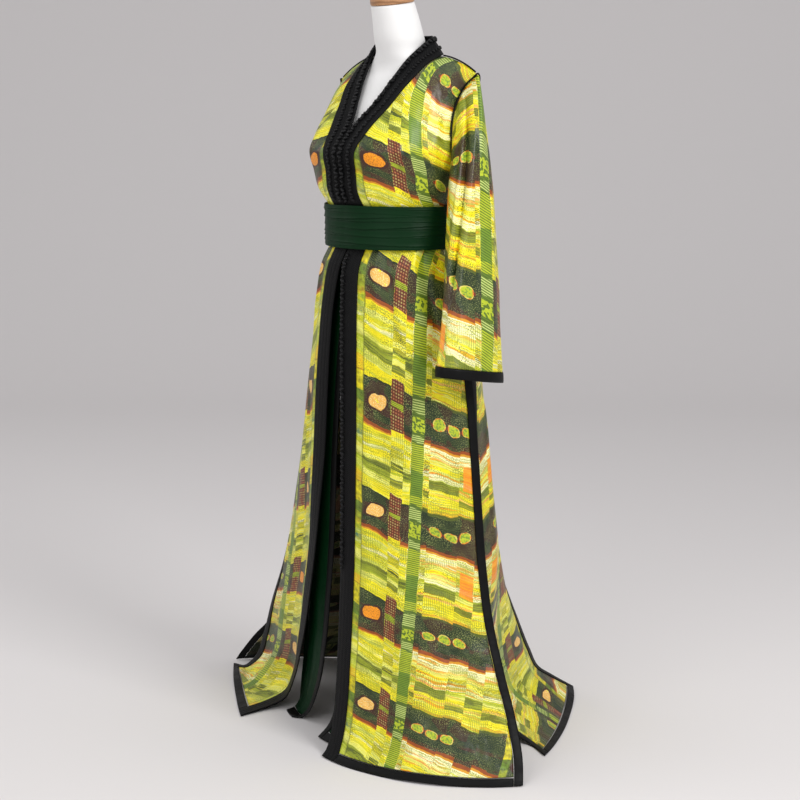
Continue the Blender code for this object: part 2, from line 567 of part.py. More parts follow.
def sleeve_rings(table, side, places, turns, edge):
    """Rings from the armhole, leaving sideways, to level rings further down."""
    angle = turns * 2 * math.pi

    def level(at):
        row = read(table, at)[:, None, :]
        x = row[..., 0] + side * row[..., 3] * np.cos(angle)
        y = -row[..., 4] * np.sin(angle)
        return np.stack([x, row[..., 1] + y, row[..., 2] + row[..., 5] * y], 2)

    first = table[0, 0]
    top = armhole_loop(side, turns)
    top = top - into_panel(edge, top) * 0.0012 + [side * 0.0022, 0, 0]
    below = level(np.array([first, first + 0.02]))
    slope = (below[1] - below[0]) / 0.02 * first
    leave = (below[0] - top) * [1.9, 1.0, 0.85]
    t = np.clip(places / first, 0, 1)[:, None, None]
    shoulder = (
        (2 * t**3 - 3 * t**2 + 1) * top
        + (t**3 - 2 * t**2 + t) * leave
        + (3 * t**2 - 2 * t**3) * below[0]
        + (t**3 - t**2) * slope
    )
    return np.where((places < first)[:, None, None], shoulder, level(np.maximum(places, first)))


def into_panel(edge, at):
    """Unit directions from points of the armhole into the panels; edge holds each panel's rim and one column in."""
    found = np.empty_like(at)
    for k, point in enumerate(at):
        rim, inner = edge[0] if point[1] < 0.031 else edge[1]
        order = np.argsort(rim[:, 2])
        near = [np.interp(point[2], rim[order, 2], (inner - rim)[order, c]) for c in range(3)]
        found[k] = near / np.linalg.norm(near)
    return found


def make_sleeve(name, table, side, edge, satin, black):
    places = np.array([0, 0.07, 0.15, 0.23, 0.32, 0.46, 0.64, 0.82, 1.0])
    rings = sleeve_rings(table, side, places, np.arange(SLEEVE_SIDES) / SLEEVE_SIDES, edge)
    middle = rings.mean(axis=(0, 1))
    cloth("sleeve_" + name, rings, CLOTH, 0, satin, closed=True, inside=middle)
    last = rings[-1]
    centre = last.mean(axis=0)
    cuff = np.stack([last - [0, 0, GAP], centre + (last - centre) * 1.012 - [0, 0, CUFF_DEPTH]])
    cloth("cuff_" + name, cuff, BOUND, 0.001, black, closed=True, inside=centre)


def make_pipings(name, table, side, edge, black):
    """Cords along the shoulder seam and over the armhole, each clear of the two pieces it lies between."""
    neck, tip = read(UPPER_FRONT, np.array([1.0]))[0, 3:6], read(UPPER_FRONT, np.array([1.0]))[0, 6:9]
    steps = np.linspace(0.05, 0.955, 8)[:, None]
    seam = neck * (1 - steps) + tip * steps
    seam[:, 1] += 0.0013
    seam[:, 2] += 4 * 0.007 * (steps * (1 - steps))[:, 0] + PIPING_RADIUS + GAP
    if side < 0:
        seam[:, 2] -= SHOULDER_DROP * steps[:, 0]
    cord("shoulder_piping_" + name, seam * [side, 1, 1], PIPING_RADIUS, 6, black)
    turns = np.concatenate([np.linspace(-0.34, -0.03, 7), np.linspace(0.03, 0.33, 7)])
    rim = armhole_loop(side, turns)
    panel = into_panel(edge, rim)
    rings = sleeve_rings(table, side, np.array([0, 0.04]), turns, edge)
    sleeve = rings[1] - rings[0]
    around = np.gradient(rim, axis=0)
    radial = rim - [0, 0.025, 1.295]
    faces = []
    for leaving, away in ((panel, radial), (sleeve, radial * [0, 1, 1])):
        normal = np.cross(around, leaving)
        normal *= np.sign((normal * away).sum(axis=1))[:, None]
        faces.append(normal / np.linalg.norm(normal, axis=1, keepdims=True))
    both = faces[0] + faces[1]
    size = np.maximum(np.linalg.norm(both, axis=1, keepdims=True), 0.75)
    path = (rim + rings[0]) / 2 + both / size**2 * 2 * (PIPING_RADIUS + 2 * GAP)
    over = armhole_loop(side, np.array([0.0])) + [side * 0.0030, 0.0012, 0.0042]
    path = np.vstack([path[:7], over, path[7:]])
    cord("armhole_piping_" + name, path, PIPING_RADIUS, 6, black)


def make_knots(points, side, black):
    """Rows of knots along the neck edge of a trim down to the belt, and on the left trim below the belt."""
    hand = "left" if side > 0 else "right"
    edge = points[4:, 0]
    inner = points[4:, 1]
    outward = normals(points[4:, :TRIM_COLUMNS])[:, 0]
    outward = outward * np.sign((outward[:, :2] * (edge[:, :2] - [0, 0.05])).sum())
    path = edge * 0.78 + inner * 0.22 + outward * (KNOT_RADIUS + 0.0026)
    height = path[:, 2]

    def run(top, bottom):
        within = height[(height < top - 0.004) & (height > bottom + 0.004)]
        at = -np.concatenate([[top], within, [bottom]])
        return np.stack([np.interp(at, -height, path[:, c]) for c in range(3)], 1)

    cord("knot_row_" + hand, run(1.435, 1.134), KNOT_RADIUS, 6, black)
    if side > 0:
        cord("knot_row_lower", run(1.036, 0.38), KNOT_RADIUS, 6, black)


# ---------------------------------------------------------------- belt, under-skirt, dress form
def make_belt(green):
    """Pleated belt: a ring outside the waist whose wall goes in and out at each pleat."""
    sides, pleats = 28, 5
    heights = np.linspace(BELT_HIGH, BELT_LOW, 2 * pleats - 3)
    quarter = np.linspace(0, 1, sides // 4 + 1)
    down = np.interp(-heights, -FRONT_LEFT[:, 3], FRONT_LEFT[:, 0])
    rows = np.tile(down[:, None], (1, len(quarter)))
    angle = np.tile(quarter, (len(down), 1))
    front = section_points(FRONT_LEFT, angle, rows)
    back = section_points(BACK_LEFT, angle, rows)
    half = np.concatenate([front, back[:, 1:]], axis=1)
    ring = np.concatenate([half[:, :-1], (half * [-1, 1, 1])[:, :0:-1]], axis=1)
    ring[..., 2] = heights[:, None]
    middle = np.array([0, -0.025, 0])
    away = (ring - middle) * [1, 1, 0]
    away /= np.linalg.norm(away, axis=2, keepdims=True)
    zigzag = BELT_PLEAT * ((-1.0) ** np.arange(len(heights)))[:, None, None]
    widest = (away * ring).sum(axis=2).max(axis=0)[None, :, None]
    own = (away * ring).sum(axis=2)[..., None]
    ring = ring + away * (0.75 * (widest - own) + BELT_STAND_OFF - 0.003 + zigzag)
    cloth("belt", ring, 0.002, 0, green, closed=True, inside=middle)


def make_under_skirt(name, table, green, black):
    down = np.array([0, 0.12, 0.25, 0.4, 0.55, 0.7, 0.8, 0.89, 0.95, 0.9798, 0.9802, 1.0])
    body = spaced(table, down, UNDER_BINDING_WIDTH, 0, 6)
    edge = spaced(table, down, UNDER_BINDING_WIDTH - SEAM, 0, 2)[:, :1]
    angle = np.hstack([edge * 0, edge, body])
    points = rest_on_floor(section_points(table, angle, np.tile(down[:, None], (1, angle.shape[1]))))
    inner = cells(points)
    inner[:9, 2:] = True
    cloth("under_skirt_" + name, points, CLOTH, 0, green, inner)
    binding = cells(points)
    binding[:, 0] = True
    binding[10, 1:] = True
    cloth("under_binding_" + name, points, BOUND, 0.001, black, binding)


def make_form(white):
    """Smooth closed form: rings of rounded sections, filled at the neck and underneath."""
    heights = np.concatenate([np.linspace(0.74, 1.20, 10), np.linspace(1.225, 1.524, 15)])
    row = read(FORM, heights)
    angle = np.arange(28) / 28 * 2 * math.pi
    c, s = np.cos(angle), np.sin(angle)
    middle = (row[:, 1:2] + row[:, 2:3]) / 2
    depth = (row[:, 2:3] - row[:, 1:2]) / 2
    x = row[:, 0:1] * np.sign(c) * np.abs(c) ** 0.92
    y = depth * np.sign(s) * np.abs(s) ** 0.92
    tilt = NECK_TILT * np.clip((heights - 1.457) / 0.06, 0, 1)[:, None]
    points = np.stack([x, middle + y, heights[:, None] + tilt * y], 2)
    data = grid_mesh("dress_form", points, None, True)
    mesh = bmesh.new()
    mesh.from_mesh(data)
    bmesh.ops.holes_fill(mesh, edges=[edge for edge in mesh.edges if edge.is_boundary])
    bmesh.ops.recalc_face_normals(mesh, faces=mesh.faces)
    mesh.to_mesh(data)
    mesh.free()
    add_object("dress_form", data, white)
    return points[-1]


def turned(name, profile, material, sides=32):
    """Turned piece: a profile at +X, from the top of the axis down its outer side, carried round by Screw."""
    data = bpy.data.meshes.new(name)
    points = [(x, 0, z) for x, z in profile]
    data.from_pydata(points, [(i, i + 1) for i in range(len(points) - 1)], [])
    piece = add_object(name, data, material)
    screw = piece.modifiers.new("turn", "SCREW")
    screw.steps = screw.render_steps = sides
    screw.use_merge_vertices = True
    screw.merge_threshold = 0.00005
    return piece


def make_stand(neck_ring, white, wood, metal):
    make_material_cap = neck_ring.mean(axis=0)
    round_edge = [(CAP_RADIUS - 0.006 + 0.006 * math.sin(a), CAP_HEIGHT - 0.006 + 0.006 * math.cos(a)) for a in
                  np.linspace(0, math.pi / 2, 5)]
    cap = turned("neck_cap", [(0, CAP_HEIGHT)] + round_edge + [(CAP_RADIUS, 0), (0, 0)], wood)
    cap.location = make_material_cap + [0, 0, 0.0006]
    cap.rotation_euler = (math.atan(NECK_TILT), 0, 0)
    foot = [(0, BASE_CROWN), (0.03, BASE_CROWN), (BASE_RADIUS - 0.012, BASE_RIM + 0.001)]
    rim = [(BASE_RADIUS - 0.004 + 0.004 * math.sin(a), BASE_RIM - 0.004 + 0.004 * math.cos(a)) for a in
           np.linspace(0, math.pi / 2, 4)]
    turned("stand_base", foot + rim + [(BASE_RADIUS, 0), (0, 0)], metal, 40)
    low, high = BASE_CROWN + GAP, 0.74 - GAP
    turned("stand_pole", [(0, high), (POLE_RADIUS, high), (POLE_RADIUS, low), (0, low)], metal, 16)


# ---------------------------------------------------------------- build
clear_scene()
kaftan = bpy.data.collections.new("moroccan kaftan")
bpy.context.scene.collection.children.link(kaftan)
printed_satin = make_material("printed satin", (0.62, 0.62, 0.12), 0.42)
black_satin = make_material("black satin", (0.012, 0.012, 0.013), 0.5)
green_satin = make_material("green satin", (0.012, 0.07, 0.03), 0.5)
form_white = make_material("form white", (0.86, 0.85, 0.84), 0.6)
cap_wood = make_material("cap wood", (0.36, 0.17, 0.07), 0.5)
stand_metal = make_material("stand metal", (0.55, 0.55, 0.56), 0.35, 1.0)

for side, hand in ((1, "left"), (-1, "right")):
    front = make_front("front_" + hand, side, printed_satin, black_satin)
    back = make_back("back_" + hand, side, printed_satin, black_satin)
    make_knots(front, side, black_satin)
    armhole = ((front[4:12, -1], front[4:12, -3]), (back[:9, 0], back[:9, 2]))
    make_sleeve(hand, SLEEVES[hand], side, armhole, printed_satin, black_satin)
    make_pipings(hand, SLEEVES[hand], side, armhole, black_satin)
make_belt(green_satin)
make_under_skirt("left", UNDER_LEFT, green_satin, black_satin)
make_under_skirt("right", UNDER_RIGHT, green_satin, black_satin)
make_stand(make_form(form_white), form_white, cap_wood, stand_metal)
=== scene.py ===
import bpy
import numpy as np
from mathutils import Matrix, Vector


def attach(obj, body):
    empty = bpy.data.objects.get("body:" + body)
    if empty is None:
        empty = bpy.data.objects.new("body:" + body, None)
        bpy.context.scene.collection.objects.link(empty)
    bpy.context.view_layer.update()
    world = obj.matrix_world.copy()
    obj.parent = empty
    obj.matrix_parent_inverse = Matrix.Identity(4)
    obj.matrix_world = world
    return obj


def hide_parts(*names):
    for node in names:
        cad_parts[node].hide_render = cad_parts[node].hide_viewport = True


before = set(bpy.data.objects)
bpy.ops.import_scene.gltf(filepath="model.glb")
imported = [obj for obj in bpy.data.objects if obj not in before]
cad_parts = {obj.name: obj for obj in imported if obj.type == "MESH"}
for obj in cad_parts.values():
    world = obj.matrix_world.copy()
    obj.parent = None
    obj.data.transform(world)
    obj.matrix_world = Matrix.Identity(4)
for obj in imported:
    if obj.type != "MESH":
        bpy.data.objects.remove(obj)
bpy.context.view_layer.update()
scene = bpy.context.scene

# ---------------------------------------------------------------- the room
# A pale seamless studio sweep under soft light, and a camera a little above the bust, looking at the left front.
FLOOR_COLOUR = (0.70, 0.675, 0.67)
CAMERA_AZIMUTH, CAMERA_DISTANCE, CAMERA_HEIGHT, AIM_HEIGHT = np.radians(47.0), 4.0, 1.40, 0.72


def grid_mesh(points, across=None, along=None, wrap=False):
    """Mesh of a grid of points, rows by columns, one quad to each cell; wrap joins the last column to the first.
    across and along, in metres, become the UV map called cut."""
    rows, columns = points.shape[:2]
    number = np.arange(rows * columns).reshape(rows, columns)
    here, there = number[:, :-1], number[:, 1:]
    if wrap:
        here, there = number, np.roll(number, -1, axis=1)
    quads = np.stack([here[:-1], there[:-1], there[1:], here[1:]], -1).reshape(-1, 4)
    mesh = bpy.data.meshes.new("grid")
    mesh.from_pydata(points.reshape(-1, 3), [], quads.tolist())
    if across is not None:
        cut = mesh.uv_layers.new(name="cut")
        uv = np.stack([np.broadcast_to(across, (rows, columns)), np.broadcast_to(along, (rows, columns))], -1)
        uv = uv.reshape(-1, 2)[quads.ravel()]
        if wrap:
            seam = np.arange(len(quads)).reshape(rows - 1, columns) % columns == columns - 1
            turn = uv.reshape(-1, 4, 2)
            width = np.ptp(across) * columns / (columns - 1)
            turn[seam.ravel(), 1:3, 0] += width
            uv = turn.reshape(-1, 2)
        cut.data.foreach_set("uv", uv.ravel())
    mesh.shade_smooth()
    return mesh


def new_piece(name, mesh, material, slot=None, inside=None):
    """Object of the mesh, its faces turned outwards from a point inside the piece, riding the root body."""
    if inside is not None:
        normal, centre = np.empty((2, len(mesh.polygons), 3))
        mesh.polygons.foreach_get("normal", normal.ravel())
        mesh.polygons.foreach_get("center", centre.ravel())
        if (normal[:, :2] * (centre - inside)[:, :2]).sum() < 0:
            mesh.flip_normals()
    mesh.name = name
    piece = bpy.data.objects.new(name, mesh)
    scene.collection.objects.link(piece)
    mesh.materials.append(material)
    if slot:
        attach(piece, "root")
    return piece


def new_material(name, colour, roughness, **sockets):
    """Principled material; sockets are set by their names with _ for a space."""
    material = bpy.data.materials.new(name)
    material.use_nodes = True
    shader = material.node_tree.nodes["Principled BSDF"]
    shader.inputs["Base Color"].default_value = (*colour, 1)
    shader.inputs["Roughness"].default_value = roughness
    for key, value in sockets.items():
        shader.inputs[key.replace("_", " ")].default_value = value
    return material, shader


def sweep_points():
    """Floor running back to a wall behind, joined by a quarter circle, as a profile carried sideways."""
    turn = np.linspace(0, np.pi / 2, 24)
    away = np.concatenate([[-9.0], 4.0 + 3.0 * np.sin(turn), [7.0]])
    height = np.concatenate([[0.0], 3.0 - 3.0 * np.cos(turn), [9.0]])
    view = np.array([-np.sin(CAMERA_AZIMUTH), np.cos(CAMERA_AZIMUTH)])
    side = np.array([view[1], -view[0]])
    reach = np.linspace(-11, 11, 3)
    flat = away[:, None, None] * view + reach[None, :, None] * side
    return np.concatenate([flat, np.broadcast_to(height[:, None, None], flat.shape[:2] + (1,))], -1)


sweep_paint, _ = new_material("studio sweep", FLOOR_COLOUR, 0.9, Specular_IOR_Level=0.15)
sweep = new_piece("studio_sweep", grid_mesh(sweep_points()), sweep_paint)
if sweep.data.polygons[0].normal.z < 0:
    sweep.data.flip_normals()

world = bpy.data.worlds.new("studio")
scene.world = world
world.use_nodes = True
world.node_tree.nodes["Background"].inputs["Color"].default_value = (1.0, 1.0, 1.02, 1)
world.node_tree.nodes["Background"].inputs["Strength"].default_value = 0.62


def soft_light(name, azimuth, distance, height, size, power):
    """Square area light looking at the waist from an azimuth measured as the camera's is."""
    lamp = bpy.data.lights.new(name, "AREA")
    lamp.size, lamp.energy = size, power
    light = bpy.data.objects.new(name, lamp)
    place = Vector((distance * np.sin(np.radians(azimuth)), -distance * np.cos(np.radians(azimuth)), height))
    light.location = place
    light.rotation_euler = (Vector((0, 0, 0.9)) - place).to_track_quat("-Z", "Y").to_euler()
    scene.collection.objects.link(light)


soft_light("key", 85, 3.4, 2.9, 1.3, 90)
soft_light("front", 20, 3.6, 2.2, 2.0, 34)
soft_light("far", -60, 3.6, 2.4, 1.8, 18)
soft_light("overhead", 47, 0.6, 4.2, 2.6, 22)

lens = bpy.data.cameras.new("camera")
lens.lens, lens.sensor_width, lens.shift_x = 88.2, 36.0, 0.005
camera = bpy.data.objects.new("camera", lens)
camera.location = (
    CAMERA_DISTANCE * np.sin(CAMERA_AZIMUTH), -CAMERA_DISTANCE * np.cos(CAMERA_AZIMUTH), CAMERA_HEIGHT)
camera.rotation_euler = (Vector((0, 0, AIM_HEIGHT)) - camera.location).to_track_quat("-Z", "Y").to_euler()
scene.collection.objects.link(camera)
scene.camera = camera
scene.view_settings.view_transform = "Standard"

# ---------------------------------------------------------------- satin and its print
# Printed satin: a smooth, dense weave with a soft shine, printed in long columns of painted bands, dotted ovals,
# pebbles and fine hatching that repeat every 0.215 m down the cloth.
PRINT_REPEAT = 0.215
YELLOW, LIME_CREAM, LIME = (0.78, 0.67, 0.008), (0.68, 0.69, 0.14), (0.38, 0.45, 0.020)
GRASS, OLIVE, DARK_GREEN = (0.15, 0.25, 0.018), (0.070, 0.090, 0.009), (0.012, 0.024, 0.007)
MAROON, RUST, ORANGE, PEACH = (0.045, 0.016, 0.009), (0.26, 0.058, 0.008), (0.76, 0.27, 0.010), (0.76, 0.42, 0.09)
TEAL, CREAM, OCHRE, EMBER = (0.03, 0.14, 0.10), (0.80, 0.78, 0.42), (0.60, 0.34, 0.012), (0.56, 0.24, 0.012)
STRIPE_RULE, KNOT_BLACK = (0.46, 0.54, 0.16), (0.0015, 0.0015, 0.0015)
PRINT_WIDTH = 0.360


class Weaver:
    """Short words for laying nodes in a tree: each makes one node and gives back its output socket."""

    def __init__(self, tree):
        self.tree = tree

    def node(self, kind, **settings):
        made = self.tree.nodes.new(kind)
        for key, value in settings.items():
            setattr(made, key, value)
        return made

    def feed(self, socket, value):
        if isinstance(value, bpy.types.NodeSocket):
            self.tree.links.new(value, socket)
        elif value is not None:
            is_colour = isinstance(value, tuple) and len(value) == 3 and socket.type == "RGBA"
            socket.default_value = (*value, 1) if is_colour else value

    def sum(self, operation, *values):
        made = self.node("ShaderNodeMath", operation=operation)
        for socket, value in zip(made.inputs, values):
            self.feed(socket, value)
        return made.outputs[0]

    def add(self, a, b):
        return self.sum("ADD", a, b)

    def less(self, a, b):
        return self.sum("LESS_THAN", a, b)

    def times(self, a, *more):
        for b in more:
            a = self.sum("MULTIPLY", a, b)
        return a

    def scaled(self, a, factor, offset=0.0):
        return self.sum("MULTIPLY_ADD", a, factor, offset)

    def place(self, a, step, offset=0.0):
        """Place within a repeat, from 0 to 1."""
        return self.sum("FRACT", self.scaled(a, 1 / step, offset))

    def within(self, a, low, high):
        """1 where a is between low and high."""
        return self.sum("COMPARE", a, (low + high) / 2, (high - low) / 2)

    def blend(self, share, under, over):
        made = self.node("ShaderNodeMix", data_type="RGBA")
        self.feed(made.inputs[0], share)
        self.feed(made.inputs[6], under)
        self.feed(made.inputs[7], over)
        return made.outputs[2]

    def bands(self, a, stops):
        """Hard-edged bands of colour; stops are (start, colour)."""
        made = self.node("ShaderNodeValToRGB")
        made.color_ramp.interpolation = "CONSTANT"
        elements = made.color_ramp.elements
        for place, colour in stops[2:]:
            elements.new(place)
        for element, (place, colour) in zip(elements, stops):
            element.position = place
            element.color = (*colour, 1)
        self.feed(made.inputs[0], a)
        return made.outputs[0]

    def point(self, x, y, z=0.0):
        made = self.node("ShaderNodeCombineXYZ")
        for socket, value in zip(made.inputs, (x, y, z)):
            self.feed(socket, value)
        return made.outputs[0]

    def noise(self, vector, scale, detail=2.0, rough=0.5):
        made = self.node("ShaderNodeTexNoise")
        self.feed(made.inputs["Vector"], vector)
        made.inputs["Scale"].default_value = scale
        made.inputs["Detail"].default_value = detail
        made.inputs["Roughness"].default_value = rough
        return made.outputs["Fac"]

    def spots(self, vector, scale):
        made = self.node("ShaderNodeTexVoronoi", voronoi_dimensions="2D")
        self.feed(made.inputs["Vector"], vector)
        made.inputs["Scale"].default_value = scale
        return made.outputs["Distance"]

    def reach(self, x, y, power):
        """Distance from the middle of a rounded oval, 1 on its edge."""
        sides = [self.sum("POWER", self.sum("ABSOLUTE", side), power) for side in (x, y)]
        return self.sum("SQRT", self.add(*sides))

    def cut(self):
        """Metres across and metres down the piece's own cut."""
        parts = self.node("ShaderNodeSeparateXYZ")
        self.feed(parts.inputs[0], self.node("ShaderNodeUVMap", uv_map="cut").outputs[0])
        return parts.outputs[0], parts.outputs[1]

    def place_in_piece(self):
        return self.node("ShaderNodeTexCoord").outputs["Object"]

    def bump(self, shader, height, strength=1.0):
        """Raises the shader's surface by a height in metres."""
        made = self.node("ShaderNodeBump")
        made.inputs["Distance"].default_value = 1.0
        made.inputs["Strength"].default_value = strength
        self.feed(made.inputs["Height"], height)
        self.feed(shader.inputs["Normal"], made.outputs[0])


def new_group(name, inputs, outputs):
    """Node group with named sockets; gives back the group, a Weaver and its input and output nodes."""
    group = bpy.data.node_groups.new(name, "ShaderNodeTree")
    for title, kind in inputs:
        group.interface.new_socket(title, in_out="INPUT", socket_type=kind)
    for title, kind in outputs:
        group.interface.new_socket(title, in_out="OUTPUT", socket_type=kind)
    weaver = Weaver(group)
    return group, weaver, weaver.node("NodeGroupInput"), weaver.node("NodeGroupOutput")


def print_group():
    """The printed design. Across is metres from the front trim, Down metres down the cloth from the shoulder."""
    group, w, given, out = new_group(
        "kaftan print", [("Across", "NodeSocketFloat"), ("Down", "NodeSocketFloat")], [("Color", "NodeSocketColor")],
    )
    across, down = given.outputs[:2]
    plain = w.point(across, down)
    drift = w.add(w.noise(plain, 13, 3), -0.5)
    waver = w.add(w.noise(w.point(w.scaled(across, 1.0, 3.1), down), 24, 2), -0.5)
    grain = w.add(w.noise(plain, 420, 2), -0.5)
    x = w.sum("MULTIPLY_ADD", waver, 0.006, w.sum("MULTIPLY_ADD", grain, 0.0012, across))
    x = w.times(w.place(x, PRINT_WIDTH), PRINT_WIDTH)
    y = w.sum("MULTIPLY_ADD", drift, 0.030, w.sum("MULTIPLY_ADD", grain, 0.0022, down))
    # The design is laid in columns, each a little higher or lower than the next.
    steps = [(0, 0.5), (0.0165, 0.34), (0.079, 0.62), (0.1065, 0.43), (0.1225, 0.52), (0.148, 0.60), (0.160, 0.49),
             (0.2235, 0.56), (0.262, 0.40), (0.300, 0.57)]
    column = w.bands(w.times(x, 1 / PRINT_WIDTH), [(edge / PRINT_WIDTH, (tone, tone, tone)) for edge, tone in steps])
    y = w.sum("MULTIPLY_ADD", w.add(column, -0.5), 0.045, y)
    r = w.place(y, PRINT_REPEAT)
    row = w.sum("FLOOR", w.scaled(y, 1 / PRINT_REPEAT))
    dice = w.noise(w.point(w.times(row, 7.31), 0.37), 1.0, 0)

    def streaks(fine_across, fine_down, seed=0.0, detail=1):
        """Noise drawn out along the bands, by its grain per metre across and down."""
        return w.noise(w.point(w.times(x, fine_across), w.times(y, fine_down), seed), 1.0, detail)

    def paint(colour, *shares):
        """Lays a colour over the ground where every share is 1."""
        nonlocal ground
        ground = w.blend(w.times(*shares), ground, colour)

    # Fine streaks that lie along the bands, and speckles.
    streak = streaks(9, 330, detail=2)
    fine = streaks(4, 700, 5.0)
    speckle = w.less(w.spots(plain, 330), w.scaled(w.noise(plain, 30, 1), 0.75, -0.19))
    hatch = w.less(w.place(w.sum("MULTIPLY_ADD", x, 0.16, down), 0.0042), 0.45)
    ruled = w.less(w.place(down, 0.0029), w.scaled(w.noise(plain, 60, 1), 1.2, -0.15))

    # Columns beside the trim: pale and orange bands between dark ones.
    light_left = w.bands(
        r,
        [
            (0, LIME_CREAM), (0.035, YELLOW), (0.09, CREAM), (0.12, YELLOW), (0.20, LIME_CREAM), (0.245, OLIVE),
            (0.30, LIME), (0.335, LIME_CREAM), (0.41, YELLOW), (0.53, DARK_GREEN), (0.66, MAROON), (0.78, DARK_GREEN),
            (0.84, MAROON), (0.89, RUST), (0.918, EMBER), (0.935, YELLOW),
        ],
    )
    light_right = w.bands(
        r,
        [
            (0, CREAM), (0.03, PEACH), (0.05, LIME_CREAM), (0.09, YELLOW), (0.13, LIME_CREAM), (0.16, ORANGE),
            (0.175, CREAM), (0.23, LIME), (0.27, LIME_CREAM), (0.31, YELLOW), (0.35, PEACH), (0.37, YELLOW),
            (0.50, OCHRE), (0.52, OLIVE), (0.555, DARK_GREEN), (0.70, MAROON), (0.74, DARK_GREEN), (0.85, MAROON),
            (0.885, RUST), (0.915, (0.58, 0.26, 0.012)), (0.935, CREAM),
        ],
    )
    right = w.less(0.121, x)
    ground = w.blend(right, light_left, light_right)
    dark = w.within(r, 0.545, 0.89)
    pale = w.sum("SUBTRACT", 1.0, w.within(r, 0.53, 0.945))

    # Pale ground: painted streaks of cream, yellow and a little orange, checks of ruled olive, then speckles.
    paint(LIME_CREAM, pale, w.less(0.60, streak))
    paint(YELLOW, pale, w.less(fine, 0.40))
    warm = w.times(w.less(0.151, x), w.less(0.62, streaks(7, 150, 9.0)))
    paint(ORANGE, pale, warm, 0.8)
    check = w.times(w.less(0.53, column), w.within(r, 0.10, 0.20))
    paint(OLIVE, pale, check, ruled, 0.85)
    low_block = w.times(w.within(r, 0.235, 0.325), w.less(column, 0.50))
    block = w.add(low_block, w.times(w.within(r, 0.375, 0.435), w.less(0.53, column)))
    paint(w.blend(ruled, OLIVE, (0.13, 0.17, 0.014)), pale, block, 0.9)
    fleck = streaks(8, 170, w.times(column, 40))
    paint(LIME, pale, w.less(column, 0.45), w.less(fleck, 0.46), 0.45)
    paint((0.42, 0.40, 0.010), pale, w.less(0.51, column), w.less(0.60, fleck), 0.6)
    paint(OLIVE, pale, speckle, 0.8)
    upright = w.less(w.place(x, 0.0038), 0.42)
    rule_zone = w.less(0.53, streaks(16, 22, 4.0))
    paint((0.22, 0.26, 0.020), pale, upright, rule_zone, 0.6)
    thread_zone = w.less(streaks(12, 30, 11.0), 0.50)
    paint((0.30, 0.32, 0.020), pale, w.less(w.place(y, 0.0047), 0.34), thread_zone, 0.6)
    square = w.times(w.within(x, 0.232, 0.262), w.within(r, 0.04, 0.26))
    paint(w.blend(w.less(streak, 0.5), ORANGE, (0.78, 0.20, 0.015)), square, w.less(0.42, dice), 0.85)

    # Dark ground: brushed dark greens and maroon, dusted with pale specks.
    brushed = streaks(26, 60, 2.0, detail=3)
    paint((0.034, 0.052, 0.014), dark, w.less(0.54, brushed), 0.75)
    lines = w.less(w.place(down, 0.0033), w.scaled(w.noise(plain, 34, 1), 1.5, -0.45))
    paint((0.060, 0.078, 0.018), dark, lines, 0.6)
    paint(MAROON, dark, w.less(w.noise(plain, 14, 2), 0.45), 0.7)
    dust = w.less(w.spots(w.point(w.scaled(across, 1.0, 0.7), down), 300), w.scaled(w.noise(plain, 26, 1), 0.55, -0.12))
    paint((0.26, 0.28, 0.09), dark, dust, 0.8)

    # Maroon column of fine rose and cream checks, crossed by a pale lime patch.
    net = w.times(w.less(w.place(across, 0.0052), 0.55), w.less(w.place(down, 0.0056), 0.50))
    bead = w.blend(w.less(0.5, w.noise(plain, 90, 0)), (0.36, 0.13, 0.05), (0.38, 0.30, 0.10))
    rose = w.blend(net, (0.11, 0.024, 0.010), bead)
    rose = w.blend(w.within(r, 0.705, 0.75), rose, w.blend(ruled, LIME, OLIVE))
    paint(rose, w.within(x, 0.079, 0.105), w.within(r, 0.52, 0.935))

    # Ovals: peach or orange, dotted, in a maroon and dark green ring.
    oval_x = w.scaled(w.add(x, w.times(waver, 0.012)), 1 / 0.0215, -0.0475 / 0.0215)
    oval_y = w.scaled(w.add(r, w.times(x, 1.3)), 1 / 0.060, -0.772 / 0.060)
    reach = w.reach(oval_x, oval_y, 2.3)
    oval = w.less(reach, 1.0)
    ring = w.times(w.less(reach, 1.32), w.less(x, 0.079))
    dotted = w.less(w.spots(plain, 270), 0.22)
    face = w.blend(w.less(0.5, dice), PEACH, ORANGE)
    face = w.blend(w.less(0.72, w.noise(plain, 55, 1)), face, YELLOW)
    face = w.blend(w.times(dotted, 0.7), face, w.blend(w.less(0.5, dice), CREAM, RUST))
    paint(MAROON, ring, w.less(w.noise(plain, 80, 1), 0.62))
    paint(face, oval)

    # Strings of lime pebbles on a thin dark red line.
    pearl_x = w.place(x, 0.0315, -0.162 / 0.0315)
    pearl_row = w.sum("FLOOR", w.scaled(x, 1 / 0.0315, -0.162 / 0.0315))
    lift = w.scaled(w.noise(w.point(pearl_row, row), 3.3, 0), 0.05, -0.02)
    px = w.scaled(pearl_x, 2.35, -1.175)
    py = w.scaled(w.add(r, lift), 1 / 0.044, -0.715 / 0.044)
    pebble = w.reach(px, py, 2.6)
    string = w.within(x, 0.160, 0.2555)
    thread = w.times(w.within(r, 0.700, 0.722), string)
    paint((0.15, 0.02, 0.012), thread)
    paint(w.blend(w.less(w.noise(plain, 130, 1), 0.5), (0.60, 0.50, 0.10), (0.62, 0.20, 0.02)), string,
          w.less(pebble, 1.0))
    lime_face = w.blend(w.less(w.noise(plain, 210, 1), 0.47), LIME, (0.17, 0.27, 0.03))
    paint(lime_face, string, w.less(pebble, 0.80))

